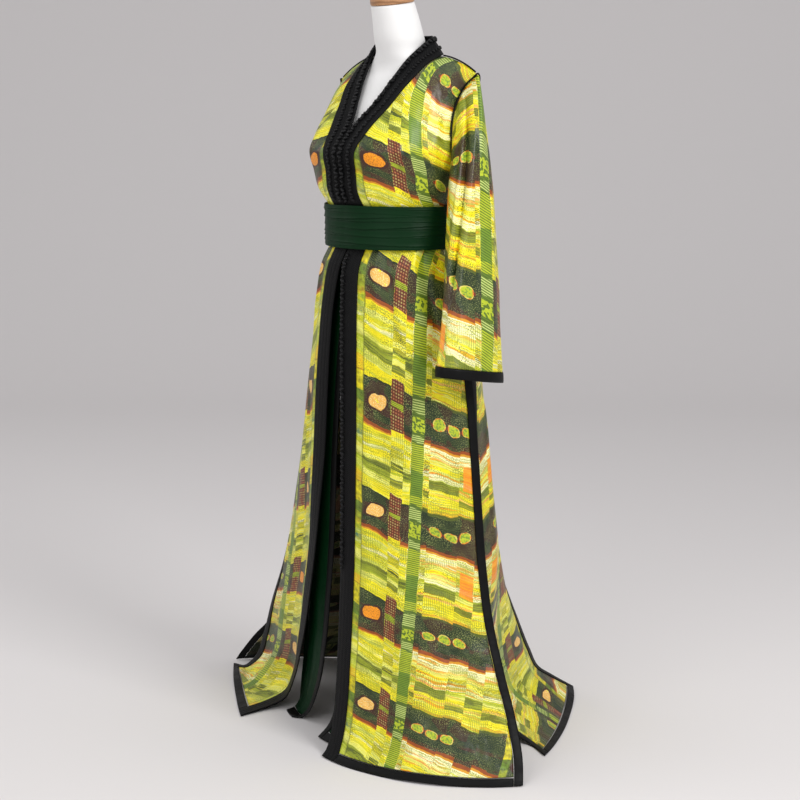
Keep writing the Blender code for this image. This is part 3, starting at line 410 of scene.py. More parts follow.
    # The green warp stripe: ruled in dark and in pale, plain in places.
    stripe = w.within(x, 0.1225, 0.1480)
    green = w.blend(pale, (0.10, 0.16, 0.018), w.blend(w.within(r, 0.20, 0.45), LIME, GRASS))
    ruled_dark = w.blend(w.times(hatch, 0.85), green, (0.060, 0.105, 0.010))
    ruled_pale = w.blend(w.times(hatch, w.within(r, 0.56, 0.68)), ruled_dark, STRIPE_RULE)
    leaf = w.times(w.within(r, 0.71, 0.83), w.less(w.noise(plain, 150, 1), 0.52))
    paint(w.blend(leaf, w.blend(w.times(hatch, w.within(r, 0.86, 0.93)), ruled_pale, STRIPE_RULE), LIME), stripe)

    # Narrow painted edge beside the trim.
    edging = w.bands(
        w.place(y, PRINT_REPEAT, 0.18),
        [
            (0, LIME), (0.12, GRASS), (0.22, TEAL), (0.27, LIME), (0.34, LIME_CREAM), (0.46, LIME), (0.62, OCHRE),
            (0.72, YELLOW), (0.90, GRASS),
        ],
    )
    paint(edging, w.less(x, 0.0165), w.scaled(w.noise(plain, 120, 1), 1.2, 0.0))
    paint(OLIVE, w.less(x, 0.0185), w.less(0.015, x), 0.5)

    shade = w.scaled(w.add(streak, w.noise(plain, 60, 2)), 0.50, 0.60)
    tone = w.node("ShaderNodeHueSaturation")
    w.feed(tone.inputs["Color"], ground)
    w.feed(tone.inputs["Value"], shade)
    w.feed(out.inputs[0], tone.outputs[0])
    return group


def satin_group():
    """Height of a satin weave: long floats in a fine twill, under soft crumples and a few short pulls.
    Across and Down are metres on the cloth. Crumple rise follows the crumples' height, for painted shade and roughness."""
    group, w, given, out = new_group(
        "satin weave", [("Across", "NodeSocketFloat"), ("Down", "NodeSocketFloat"), ("Crumple", "NodeSocketFloat")],
        [("Height", "NodeSocketFloat"), ("Crumple rise", "NodeSocketFloat")],
    )
    across, down, crumple = given.outputs[:3]
    plain = w.point(across, down)
    floats = w.noise(w.point(w.times(across, 2600), w.times(down, 420)), 1.0, 1)
    soft = w.noise(plain, 16, 3, 0.45)
    small = w.noise(w.point(w.times(across, 62), w.times(down, 22)), 1.0, 2)
    height = w.add(w.times(floats, 0.00005), w.times(w.add(w.times(soft, 0.010), w.times(small, 0.0016)), crumple))
    w.feed(out.inputs[0], height)
    # Second output: the soft crumples' height, used as painted shade (darker in the hollows) and for roughness.
    w.feed(out.inputs[1], w.scaled(soft, 0.35, 0.30))
    return group


kaftan_print, satin_weave = print_group(), satin_group()


def use_group(w, group, *values):
    """Places a group in a material and feeds its inputs."""
    made = w.node("ShaderNodeGroup", node_tree=group)
    for socket, value in zip(made.inputs, values):
        w.feed(socket, value)
    return made.outputs


def satin(name, colour=None, roughness=0.42, crumple=1.0, dulled_and_shaded=1.0, **sockets):
    """Satin material on the cut's own metres; with no colour it carries the print. Below 1, dulled_and_shaded makes the
    print duller and darker: partly the reverse's own duller colour, partly painted shade.
    """
    material, shader = new_material(name, colour or (0.6, 0.6, 0.2), roughness, **sockets)
    w = Weaver(material.node_tree)
    across, down = w.cut()
    height, crumple_rise = use_group(w, satin_weave, across, down, crumple)
    tone = w.node("ShaderNodeHueSaturation")
    if colour is None:
        # The lower saturation is the reverse's duller colour; the lower value is painted shade.
        tone.inputs["Saturation"].default_value, tone.inputs["Value"].default_value = 0.5 + 0.5 * dulled_and_shaded, dulled_and_shaded
        w.feed(tone.inputs["Color"], use_group(w, kaftan_print, across, down)[0])
    else:
        w.feed(tone.inputs["Color"], colour)
        # Painted shade: the colour is darker in the crumples' hollows and lighter on their rises.
        w.feed(tone.inputs["Value"], w.scaled(crumple_rise, 1.2, 0.45))
    w.feed(shader.inputs["Base Color"], tone.outputs[0])
    w.feed(shader.inputs["Roughness"], w.scaled(crumple_rise, 0.35, roughness - 0.16))
    w.bump(shader, height, 0.9)
    return material


printed_satin = satin("printed satin", None, 0.38, 0.8, Specular_IOR_Level=0.36)
# The print's reverse: duller than the face, and darkened much further as painted shade for the panels' shadowed
# insides.
shaded_satin_reverse = satin("printed satin, reverse with painted shade", None, 0.62, 0.8, 0.32, Specular_IOR_Level=0.15)
black_satin = satin("black satin", (0.0030, 0.0030, 0.0030), 0.46, 0.5, Specular_IOR_Level=0.12)
belt_satin = satin("belt green satin", (0.0012, 0.019, 0.0045), 0.48, 0.35, Specular_IOR_Level=0.10)
under_satin = satin("under-skirt green satin", (0.0010, 0.017, 0.0045), 0.50, 0.8, Specular_IOR_Level=0.10)

# ---------------------------------------------------------------- the four long panels
# Each runs from the shoulder to the hem in one length of printed satin. The fronts open from a deep V to the floor,
# the backs are seamed at the centre and spread into a short train, and the side seams open below the hip.
WALL = 0.0012
BOUND = 0.0025
SEAM = 0.0009
TRIM_WIDTH = 0.044
BINDING_WIDTH = 0.019
FLOOR_CLEARANCE = 0.0028
SHOULDER_DROP = 0.012
# Columns: down (0 underarm, 1 hem), first edge x y z, second edge x y z, fullness.
FRONT_LEFT = np.array([
    [0.000, 0.0009, -0.151, 1.195, 0.162, 0.0060, 1.195, 0.056],
    [0.042, 0.0009, -0.147, 1.155, 0.152, 0.0000, 1.155, 0.050],
    [0.083, 0.0009, -0.128, 1.115, 0.138, -0.004, 1.115, 0.037],
    [0.125, 0.0009, -0.122, 1.080, 0.133, -0.006, 1.080, 0.035],
    [0.167, -0.001, -0.128, 1.045, 0.139, -0.004, 1.045, 0.038],
    [0.208, -0.006, -0.140, 1.010, 0.152, 0.002, 1.010, 0.043],
    [0.271, -0.008, -0.144, 0.940, 0.170, 0.012, 0.940, 0.047],
    [0.354, -0.008, -0.145, 0.850, 0.188, 0.021, 0.850, 0.051],
    [0.438, -0.008, -0.145, 0.750, 0.200, 0.027, 0.750, 0.054],
    [0.542, -0.008, -0.145, 0.620, 0.215, 0.027, 0.620, 0.056],
    [0.635, -0.008, -0.146, 0.500, 0.230, 0.024, 0.500, 0.058],
    [0.719, -0.006, -0.149, 0.400, 0.246, 0.020, 0.400, 0.060],
    [0.792, -0.004, -0.155, 0.300, 0.270, 0.015, 0.300, 0.062],
    [0.865, -0.002, -0.163, 0.200, 0.308, 0.010, 0.200, 0.063],
    [0.922, 0.000, -0.172, 0.110, 0.350, 0.002, 0.110, 0.064],
    [0.964, 0.002, -0.185, 0.045, 0.384, -0.015, 0.045, 0.065],
    [0.984, 0.003, -0.198, 0.014, 0.396, -0.026, 0.014, 0.066],
    [1.000, 0.004, -0.212, 0.003, 0.403, -0.034, 0.003, 0.066],
])

FRONT_RIGHT = np.array([
    [0.000, -0.0009, -0.151, 1.195, -0.162, 0.0060, 1.195, 0.056],
    [0.042, -0.0009, -0.147, 1.155, -0.152, 0.0000, 1.155, 0.050],
    [0.083, -0.0009, -0.128, 1.115, -0.138, -0.004, 1.115, 0.037],
    [0.125, -0.0011, -0.122, 1.080, -0.133, -0.006, 1.080, 0.035],
    [0.167, -0.004, -0.128, 1.045, -0.139, -0.004, 1.045, 0.038],
    [0.208, -0.012, -0.140, 1.010, -0.152, 0.002, 1.010, 0.045],
    [0.271, -0.030, -0.142, 0.940, -0.172, 0.012, 0.940, 0.047],
    [0.354, -0.043, -0.142, 0.850, -0.192, 0.020, 0.850, 0.049],
    [0.438, -0.052, -0.142, 0.750, -0.215, 0.022, 0.750, 0.050],
    [0.542, -0.063, -0.141, 0.620, -0.255, 0.018, 0.620, 0.043],
    [0.635, -0.082, -0.140, 0.500, -0.300, 0.008, 0.500, 0.026],
    [0.719, -0.100, -0.138, 0.400, -0.336, 0.000, 0.400, 0.012],
    [0.792, -0.122, -0.135, 0.300, -0.372, 0.000, 0.300, 0.008],
    [0.865, -0.165, -0.120, 0.185, -0.420, 0.005, 0.200, -0.002],
    [0.911, -0.225, -0.095, 0.085, -0.465, 0.020, 0.120, -0.014],
    [0.943, -0.283, -0.075, 0.024, -0.510, 0.035, 0.055, -0.014],
    [0.964, -0.300, -0.100, 0.010, -0.560, 0.045, 0.016, -0.004],
    [1.000, -0.307, -0.177, 0.003, -0.618, 0.050, 0.003, 0.006],
])

BACK_LEFT = np.array([
    [0.000, 0.162, 0.0078, 1.195, 0.0010, 0.098, 1.195, 0.040],
    [0.042, 0.152, 0.0018, 1.155, 0.0010, 0.085, 1.155, 0.037],
    [0.083, 0.138, -0.0022, 1.115, 0.0010, 0.075, 1.115, 0.034],
    [0.125, 0.133, -0.0042, 1.080, 0.0010, 0.072, 1.080, 0.033],
    [0.167, 0.139, -0.0022, 1.045, 0.0010, 0.079, 1.045, 0.036],
    [0.208, 0.152, 0.0038, 1.010, 0.0010, 0.092, 1.010, 0.040],
    [0.271, 0.170, 0.0138, 0.940, 0.0010, 0.115, 0.940, 0.043],
    [0.354, 0.188, 0.0240, 0.850, 0.0010, 0.134, 0.850, 0.046],
    [0.438, 0.200, 0.0300, 0.750, 0.0010, 0.146, 0.750, 0.048],
    [0.542, 0.213, 0.0342, 0.620, 0.002, 0.168, 0.620, 0.054],
    [0.635, 0.224, 0.0382, 0.500, 0.010, 0.198, 0.500, 0.058],
    [0.719, 0.234, 0.0442, 0.400, 0.022, 0.240, 0.400, 0.046],
    [0.792, 0.242, 0.0522, 0.300, 0.030, 0.286, 0.300, 0.020],
    [0.865, 0.240, 0.0742, 0.200, 0.028, 0.336, 0.205, -0.001],
    [0.911, 0.218, 0.1060, 0.105, 0.018, 0.392, 0.112, -0.008],
    [0.943, 0.222, 0.1350, 0.042, 0.004, 0.440, 0.054, -0.004],
    [0.964, 0.256, 0.1620, 0.009, 0.004, 0.480, 0.028, 0.006],
    [1.000, 0.333, 0.1380, 0.003, 0.048, 0.508, 0.003, 0.020],
])
# Low down its first edge is tucked behind the front: height, how far in.
BACK_LEFT_TUCK = np.array([
    [0.003, 0.022],
    [0.100, 0.026],
    [0.200, 0.030],
    [0.300, 0.031],
    [0.400, 0.031],
    [0.500, 0.028],
    [0.620, 0.018],
    [0.750, 0.006],
])
TUCK_WAY = np.array([-0.682, -0.731])
TUCK_BEHIND = 0.003


def tucked(rows, tuck):
    """Rows with the first edge moved in and behind by a depth for each height, x to 1 mm and y to 0.1 mm."""
    depth = np.interp(rows[:, 3], *tuck.T, right=0)
    behind = TUCK_BEHIND * np.minimum(1, depth / 0.02)
    moved = rows.copy()
    moved[:, 1] = (rows[:, 1] + TUCK_WAY[0] * depth + TUCK_WAY[1] * behind).round(3)
    moved[:, 2] = (rows[:, 2] + TUCK_WAY[1] * depth - TUCK_WAY[0] * behind).round(4)
    return moved


BACK_LEFT = tucked(BACK_LEFT, BACK_LEFT_TUCK)

BACK_RIGHT = np.array([
    [0.000, -0.162, 0.0078, 1.195, -0.0010, 0.098, 1.195, 0.040],
    [0.042, -0.152, 0.0018, 1.155, -0.0010, 0.085, 1.155, 0.037],
    [0.083, -0.138, -0.0022, 1.115, -0.0010, 0.075, 1.115, 0.034],
    [0.125, -0.133, -0.0042, 1.080, -0.0010, 0.072, 1.080, 0.033],
    [0.167, -0.139, -0.0022, 1.045, -0.0010, 0.079, 1.045, 0.036],
    [0.208, -0.152, 0.0038, 1.010, -0.0010, 0.092, 1.010, 0.040],
    [0.271, -0.172, 0.0138, 0.940, -0.0010, 0.115, 0.940, 0.043],
    [0.354, -0.192, 0.0230, 0.850, -0.0010, 0.134, 0.850, 0.047],
    [0.438, -0.215, 0.0257, 0.750, -0.0010, 0.145, 0.750, 0.050],
    [0.542, -0.254, 0.0262, 0.620, -0.003, 0.164, 0.620, 0.050],
    [0.635, -0.300, 0.0262, 0.500, -0.010, 0.188, 0.500, 0.050],
    [0.719, -0.340, 0.0282, 0.400, -0.018, 0.214, 0.400, 0.052],
    [0.792, -0.382, 0.0362, 0.300, -0.024, 0.242, 0.300, 0.056],
    [0.865, -0.440, 0.0522, 0.200, -0.030, 0.276, 0.200, 0.064],
    [0.911, -0.532, 0.0860, 0.118, -0.036, 0.308, 0.110, 0.072],
    [0.943, -0.592, 0.0900, 0.068, -0.042, 0.342, 0.048, 0.080],
    [0.964, -0.628, 0.0860, 0.028, -0.050, 0.372, 0.018, 0.086],
    [1.000, -0.642, 0.0760, 0.003, -0.066, 0.412, 0.003, 0.096],
])
PANELS = {"front_left": FRONT_LEFT, "front_right": FRONT_RIGHT, "back_left": BACK_LEFT, "back_right": BACK_RIGHT}
# Columns: up (0 underarm, 1 shoulder), neck edge x y z, trim's outer edge x y z, armhole x y z, share of fullness.
UPPER_FRONT = np.array([
    [0.0, 0.0009, -0.151, 1.195, 0.0440, -0.150, 1.195, 0.162, 0.006, 1.195, 1.00],
    [0.2, 0.0009, -0.156, 1.238, 0.0460, -0.155, 1.236, 0.169, -0.010, 1.235, 1.00],
    [0.4, 0.0026, -0.119, 1.284, 0.0560, -0.127, 1.278, 0.164, -0.006, 1.275, 0.90],
    [0.6, 0.0240, -0.081, 1.331, 0.0740, -0.087, 1.324, 0.161, 0.003, 1.312, 0.72],
    [0.8, 0.0420, -0.045, 1.382, 0.0900, -0.045, 1.373, 0.167, 0.014, 1.346, 0.50],
    [0.9, 0.0540, -0.017, 1.418, 0.0970, -0.004, 1.407, 0.182, 0.022, 1.371, 0.28],
    [1.0, 0.0730, 0.028, 1.459, 0.0990, 0.0296, 1.421, 0.200, 0.0296, 1.385, 0.00],
])
# Columns: up, armhole x y z, centre back and then back neck x y z, share of fullness.
UPPER_BACK = np.array([
    [0.00, 0.162, 0.0078, 1.195, 0.0010, 0.098, 1.195, 1.00],
    [0.20, 0.168, 0.035, 1.235, 0.0010, 0.106, 1.245, 1.00],
    [0.40, 0.166, 0.050, 1.275, 0.0010, 0.110, 1.300, 0.90],
    [0.60, 0.167, 0.056, 1.312, 0.0010, 0.108, 1.350, 0.70],
    [0.80, 0.174, 0.054, 1.346, 0.0010, 0.100, 1.395, 0.50],
    [0.90, 0.186, 0.046, 1.371, 0.0120, 0.0875, 1.4210, 0.30],
    [0.95, 0.193, 0.040, 1.379, 0.0600, 0.070, 1.4210, 0.15],
    [1.00, 0.200, 0.0322, 1.3845, 0.1005, 0.0325, 1.4195, 0.00],
])
# Soft folds: place across, half width, depth at the belt, depth at the hem.
FOLDS = {
    "front_left": [(0.30, 0.13, -0.003, -0.010), (0.55, 0.12, 0.002, 0.009), (0.80, 0.12, -0.001, -0.008)],
    "front_right": [(0.35, 0.14, -0.002, -0.010), (0.66, 0.13, 0.001, 0.007)],
    "back_left": [(0.28, 0.13, -0.001, -0.006), (0.55, 0.14, 0.002, -0.012), (0.80, 0.13, -0.002, 0.006)],
    "back_right": [(0.25, 0.12, -0.001, -0.008), (0.50, 0.13, 0.002, 0.014), (0.76, 0.13, -0.002, -0.012)],
}
# Creases from the belt and from wear. Columns: across and down at one end, across and down at the
# other end in metres, half width, height.
CREASES = {
    "front_left": np.array([
        [0.075, 0.150, 0.095, 0.315, 0.010, -0.0022],
        [0.102, 0.200, 0.106, 0.318, 0.006, 0.0018],
        [0.150, 0.120, 0.126, 0.318, 0.013, -0.0020],
        [0.170, 0.060, 0.205, 0.200, 0.012, -0.0030],
        [0.190, 0.130, 0.160, 0.310, 0.011, 0.0022],
        [0.030, 0.405, 0.050, 0.620, 0.009, 0.0022],
        [0.060, 0.405, 0.092, 0.700, 0.011, -0.0028],
        [0.100, 0.405, 0.135, 0.560, 0.008, 0.0024],
        [0.120, 0.405, 0.182, 0.640, 0.011, -0.0030],
        [0.150, 0.405, 0.205, 0.520, 0.008, 0.0022],
        [0.020, 0.800, 0.036, 1.300, 0.016, 0.0030],
        [0.110, 0.760, 0.150, 1.330, 0.018, -0.0040],
        [0.190, 0.820, 0.262, 1.350, 0.018, 0.0040],
    ]),
    "front_right": np.array([
        [0.060, 0.140, 0.080, 0.318, 0.010, 0.0020],
        [0.130, 0.150, 0.110, 0.318, 0.010, -0.0022],
        [0.175, 0.110, 0.140, 0.318, 0.012, 0.0022],
        [0.030, 0.405, 0.060, 0.640, 0.010, 0.0026],
        [0.075, 0.405, 0.105, 0.720, 0.012, -0.0030],
        [0.120, 0.405, 0.160, 0.620, 0.010, 0.0026],
        [0.060, 0.760, 0.090, 1.330, 0.016, -0.0040],
        [0.150, 0.800, 0.190, 1.340, 0.016, 0.0036],
    ]),
    "back_left": np.array([
        [0.060, 0.060, 0.080, 0.318, 0.012, -0.0024],
        [0.120, 0.110, 0.110, 0.318, 0.012, 0.0022],
        [0.050, 0.405, 0.060, 0.700, 0.012, -0.0030],
        [0.105, 0.405, 0.120, 0.760, 0.013, 0.0030],
        [0.165, 0.405, 0.190, 0.680, 0.012, -0.0030],
        [0.080, 0.800, 0.090, 1.300, 0.018, 0.0045],
        [0.190, 0.760, 0.230, 1.320, 0.018, -0.0040],
    ]),
    "back_right": np.array([
        [0.055, 0.070, 0.085, 0.318, 0.012, 0.0024],
        [0.125, 0.090, 0.115, 0.318, 0.011, -0.0024],
        [0.060, 0.405, 0.075, 0.690, 0.012, 0.0030],
        [0.115, 0.405, 0.140, 0.740, 0.013, -0.0032],
        [0.175, 0.405, 0.205, 0.700, 0.012, 0.0030],
        [0.120, 0.800, 0.180, 1.330, 0.018, -0.0045],
        [0.260, 0.840, 0.330, 1.350, 0.020, 0.0045],
        [0.380, 0.900, 0.440, 1.350, 0.020, -0.0040],
    ]),
}
CREASE_STRENGTH = 1.5
SLIT_TOP, VENT_TOP = 0.405, 0.780
PANEL_ROWS, UPPER_ROWS, COLLAR_ROWS = 150, 46, 26
HEM_START = {"front_left": 0.982, "front_right": 0.988, "back_left": 0.990, "back_right": 0.986}
UNDERARM_ACROSS = 0.212  # from trim to side seam at the underarm


def along(knots, values, at):
    """Smooth curve through a table's rows: cubic pieces whose slopes are the rows' central differences."""
    slope = np.gradient(values, knots, axis=0)
    at = np.asarray(at, float)
    i = np.clip(np.searchsorted(knots, at, side="right") - 1, 0, len(knots) - 2)
    width = knots[i + 1] - knots[i]
    t = ((at - knots[i]) / width)[..., None]
    width = width[..., None]
    ends = (2 * t**3 - 3 * t**2 + 1) * values[i] + (3 * t**2 - 2 * t**3) * values[i + 1]
    return ends + width * ((t**3 - 2 * t**2 + t) * slope[i] + (t**3 - t**2) * slope[i + 1])


def read(table, at):
    return along(table[:, 0], table[:, 1:], at)


def section_points(table, angle, down):
    """Points of the quarter-ellipse sections; angle 0 is the first edge and 1 the second."""
    row = read(table, down)
    first, second, fullness = row[..., 0:3], row[..., 3:6], row[..., 6:7]
    middle = (first + second) / 2
    chord = second - first
    outward = np.stack([chord[..., 1], -chord[..., 0], 0 * chord[..., 0]], -1)
    outward /= np.linalg.norm(outward, axis=-1, keepdims=True)
    start = outward.reshape(-1, 3)[0] @ middle.reshape(-1, 3)[0]
    centre = middle - np.sign(start) * outward * fullness / (np.sqrt(2) - 1)
    turn = np.asarray(angle)[..., None] * np.pi / 2
    return centre + (first - centre) * np.cos(turn) + (second - centre) * np.sin(turn)


def fold_offset(name, angle, down):
    """Depth of the soft folds, growing from the belt to the hem."""
    grow = np.clip((down - 0.17) / 0.83, 0, 1)
    offset = np.zeros(np.broadcast(angle, down).shape)
    for place, half_width, at_belt, at_hem in FOLDS[name]:
        shape = np.exp(-(((angle - place) / half_width) ** 2))
        lying = np.clip((1.0 - down) / 0.06, 0.35, 1)
        offset += shape * (at_belt * np.clip(down / 0.17, 0, 1) * (1 - grow) + at_hem * grow) * lying
    return offset


def normals(points):
    """Unit normals of a grid of points, from its central differences."""
    normal = np.cross(np.gradient(points, axis=1), np.gradient(points, axis=0))
    return normal / np.maximum(np.linalg.norm(normal, axis=-1, keepdims=True), 1e-9)


def facing_out(points):
    """Unit normals that point away from the middle of the garment."""
    normal = normals(points)
    return normal * np.sign((normal[..., :2] * (points[..., :2] - [0, -0.02])).sum())


def spaced(table, down, from_first, from_second, count):
    """Section angles at even steps along each section, and each one's distance from the first edge, in metres."""
    dense = np.linspace(0, 1, 121)
    points = section_points(table, np.tile(dense, (len(down), 1)), np.tile(down[:, None], (1, 121)))
    steps = np.linalg.norm(np.diff(points, axis=1), axis=2)
    length = np.concatenate([np.zeros((len(down), 1)), np.cumsum(steps, axis=1)], axis=1)
    from_first, from_second = np.broadcast_to(from_first, len(down)), np.broadcast_to(from_second, len(down))
    want = np.linspace(from_first, length[:, -1] - from_second, count, axis=1)
    return np.array([np.interp(want[i], length[i], dense) for i in range(len(down))]), want


def full_width(table, down):
    """Metres from the first edge to the second at each place down."""
    return spaced(table, down, 0, 0, 2)[1][:, -1]


def lay(name, angle, down):
    """Points of a panel at section angles and places down, with its soft folds, nowhere under the floor."""
    down = np.broadcast_to(down[:, None], angle.shape)
    points = section_points(PANELS[name], angle, down)
    points = points + facing_out(points) * fold_offset(name, angle, down)[..., None]
    points[..., 2] = np.maximum(points[..., 2], FLOOR_CLEARANCE)
    return points


def upper_rows(first, inner, outer, share, up):
    """Rows above the underarm: the section at the underarm, carried between two edges with its fullness scaled."""
    chord = first[-1] - first[0]
    reach = np.linalg.norm(chord)
    chord = chord / reach
    across = np.array([chord[1], -chord[0], 0])
    along_chord = (first - first[0]) @ chord / reach
    off_chord = (first - first[0]) @ across
    span = outer - inner
    turn = np.stack([span[:, 1], -span[:, 0], 0 * span[:, 0]], 1)
    turn /= np.linalg.norm(turn, axis=1, keepdims=True)
    points = inner[:, None] + span[:, None] * along_chord[None, :, None]
    points = points + turn[:, None] * (share * off_chord)[:, :, None]
    points[..., 2] += (0.007 * up**6)[:, None] * 4 * along_chord * (1 - along_chord)
    return points


def dropped(points, up, side):
    """The wearer's right shoulder hangs a little lower."""
    points = points * [side, 1, 1]
    if side < 0:
        points[:, 2] -= SHOULDER_DROP * np.clip((up - 0.5) / 0.5, 0, 1)
    return points


def panel_rows(breaks, count):
    """Places down a panel, with a close pair at each break."""
    rows = np.linspace(0, 1, count)
    rows = rows[np.min(np.abs(rows[:, None] - np.array([place for place, _ in breaks])), axis=1) > 0.002]
    return np.sort(np.concatenate([rows, [p for place, half in breaks for p in (place - half, place + half)]]))


def crease(name, points, across, down, hold):
    """Adds soft ridges and troughs along short lines drawn on the cut, fading at their ends."""
    height = np.zeros(across.shape)
    for x0, y0, x1, y1, half, tall in CREASES[name]:
        run = np.array([x1 - x0, y1 - y0])
        t = ((across - x0) * run[0] + (down - y0) * run[1]) / (run @ run)
        near = np.hypot(across - x0 - run[0] * np.clip(t, 0, 1), down - y0 - run[1] * np.clip(t, 0, 1))
        fade = np.clip(t * 4 + 0.6, 0, 1) * np.clip((1 - t) * 2.5 + 0.15, 0, 1)
        height += tall * np.exp(-((near / half) ** 2)) * fade
    return points + facing_out(points) * (CREASE_STRENGTH * height * hold)[..., None]


def length_down(points, column):
    """Distance down a column of the grid, from its first row."""
    steps = np.linalg.norm(np.diff(points[:, column], axis=0), axis=1)
    return np.concatenate([[0], np.cumsum(steps)])


def edge_hold(shape, columns=8):
    """0 at the first and last column, 1 a few columns in."""
    k = np.arange(shape[1])
    return np.broadcast_to(np.clip(np.minimum(k, shape[1] - 1 - k) / columns, 0, 1), shape)


def creased(name, points, across):
    """A panel's points with its creases, and each point's metres across and down the cut."""
    columns = points.shape[1]
    down_cut = length_down(points, columns // 2)[:, None] * np.ones((1, columns))
    return crease(name, points, across, down_cut, edge_hold(points.shape[:2])), across, down_cut


# Columns: place down the cloth, how far the print's rows drop there per metre across.
PRINT_SLANT = np.array([[0.0, 0.46], [0.30, 0.46], [0.42, 0.46], [0.68, 0.40], [0.95, 0.33], [1.45, 0.29]])
# Columns: place down the cloth, place down the print that falls there.
PRINT_ROWS = np.array([
    [-0.05, 0.045], [0.07, 0.155], [0.31, 0.370], [0.552, 0.585], [0.80, 0.800], [1.009, 1.015], [1.216, 1.230],
    [1.398, 1.445], [1.60, 1.67],
])
# The backs' print: reversed across from here, and shifted along its slant from here and down by this.
BACK_PRINT_ACROSS, BACK_PRINT_MIDDLE, BACK_PRINT_SHIFT = 0.330, 0.1, 0.03
FRONT_PRINT_MIDDLE, FRONT_PRINT_SHIFT, RIGHT_BACK_SHIFT = 0.2, 0.002, 0.07
# The right front's print slips up over its tail, from here down.
TAIL_SLIP, TAIL_TOP, TAIL_LENGTH = 0.09, 1.36, 0.2


def slant(down):
    return np.interp(down, *PRINT_SLANT.T)


def row_of_print(down):
    return np.interp(down, *PRINT_ROWS.T)


def front_surface(name, side, columns=72):
    down = panel_rows([(SLIT_TOP, SEAM / 2), (HEM_START[name], SEAM)], PANEL_ROWS)
    down = down[down < HEM_START[name]]
    angle, width = spaced(PANELS[name], down, TRIM_WIDTH, np.where(down < SLIT_TOP, 0, BINDING_WIDTH), columns)
    lower = lay(name, angle, down)
    up = np.linspace(1, 0, UPPER_ROWS)[:-1]
    row = read(UPPER_FRONT, up)
    outer, armhole = dropped(row[:, 3:6], 0 * up, side), dropped(row[:, 6:9], up, side)
    start = outer + (armhole - outer) * (SEAM / np.linalg.norm(armhole - outer, axis=1))[:, None]
    upper = upper_rows(lower[0], start, armhole, row[:, 9:10], up)
    points = np.vstack([upper, lower])
    steps = np.linalg.norm(np.diff(upper, axis=1), axis=2)
    from_arm = np.cumsum(steps[:, ::-1], axis=1)[:, ::-1]
    across = UNDERARM_ACROSS - np.concatenate([from_arm, np.zeros((len(up), 1))], axis=1)
    shift = (width[0, -1] - TRIM_WIDTH) - UNDERARM_ACROSS
    across = np.vstack([across + shift, width - TRIM_WIDTH])
    return creased(name, points, across)


def back_surface(name, side, columns=72):
    down = panel_rows([(SLIT_TOP, SEAM / 2), (VENT_TOP, SEAM / 2), (HEM_START[name], SEAM)], PANEL_ROWS)
    down = down[down < HEM_START[name]]
    angle, width = spaced(
        PANELS[name], down, np.where(down < SLIT_TOP, 0, BINDING_WIDTH), np.where(down < VENT_TOP, 0, BINDING_WIDTH),
        columns,
    )
    lower = lay(name, angle, down)
    up = np.linspace(1, 0, UPPER_ROWS)[:-1]
    row = read(UPPER_BACK, up)
    upper = upper_rows(lower[0], dropped(row[:, 0:3], up, side), dropped(row[:, 3:6], 0 * up, side), row[:, 6:7], up)
    points = np.vstack([upper, lower])
    steps = np.linalg.norm(np.diff(upper, axis=1), axis=2)
    across = np.concatenate([np.zeros((len(up), 1)), np.cumsum(steps, axis=1)], axis=1)
    across = np.vstack([across, width])
    return creased(name, points, across)


def cloth_wall(piece, wall, proud):
    """Gives a sheet its thickness, its outer face standing proud of the mesh."""
    maker = piece.modifiers.new("wall", "SOLIDIFY")
    maker.thickness = wall
    maker.offset = 2 * proud / wall - 1


INSIDE = np.array([0, -0.02, 0.7])


def new_cloth(name, mesh, material, slot, replaced, inside=INSIDE, wall=WALL, proud=0):
    """Piece of cloth with its thickness, in the place of a CAD node."""
    piece = new_piece(name, mesh, material, slot, inside)
    cloth_wall(piece, wall, proud)
    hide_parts(replaced)
    return piece


surfaces = {}
for name, side in (("front_left", 1), ("front_right", -1), ("back_left", 1), ("back_right", -1)):
    surface = front_surface if name.startswith("front") else back_surface
    points, across, down_cut = surface(name, side)
    surfaces[name] = points
    if name.startswith("front"):
        off = across - FRONT_PRINT_MIDDLE
        print_down = row_of_print(down_cut - 0.25 * slant(down_cut) * off) - 0.75 * slant(down_cut) * off
        print_down = print_down - FRONT_PRINT_SHIFT
        print_across = across
    else:
        print_down = row_of_print(down_cut) + slant(down_cut) * (across - BACK_PRINT_MIDDLE) - BACK_PRINT_SHIFT
        print_across = BACK_PRINT_ACROSS - across
    if name == "back_right":
        print_down = print_down + RIGHT_BACK_SHIFT
    if name == "front_right":
        print_down = print_down - TAIL_SLIP * np.clip((down_cut - TAIL_TOP) / TAIL_LENGTH, 0, 1)
    panel = new_cloth(
        "kaftan_" + name, grid_mesh(points, print_across, print_down), printed_satin, "printed_satin", name,
    )
    # The inner faces take the reverse, darkened as painted shade.
    panel.data.materials.append(shaded_satin_reverse)
    panel.modifiers["wall"].material_offset = 1
    surfaces[name + " piece"] = panel

# ---------------------------------------------------------------- the bound edges
# Black satin strips are folded over the slits, the vent and the hems, mitred at each corner and pressed flat.


def pillow(points, tall):
    """Raises the middle of a strip so that it is softly rounded across."""
    across = np.linspace(0, 1, points.shape[1])
    return points + facing_out(points) * (tall * (1 - (2 * across - 1) ** 4))[None, :, None]


def join(meshes):
    """One mesh of several."""
    corners = np.concatenate([np.array([v.co for v in m.vertices]) for m in meshes])
    faces, uv, start = [], [], 0
    for m in meshes:
        faces += [[start + v for v in p.vertices] for p in m.polygons]
        uv += [list(d.uv) for d in m.uv_layers["cut"].data]
        start += len(m.vertices)
    mesh = bpy.data.meshes.new("joined")
    mesh.from_pydata(corners, [], faces)
    mesh.uv_layers.new(name="cut").data.foreach_set("uv", np.array(uv).ravel())
    mesh.shade_smooth()
    return mesh


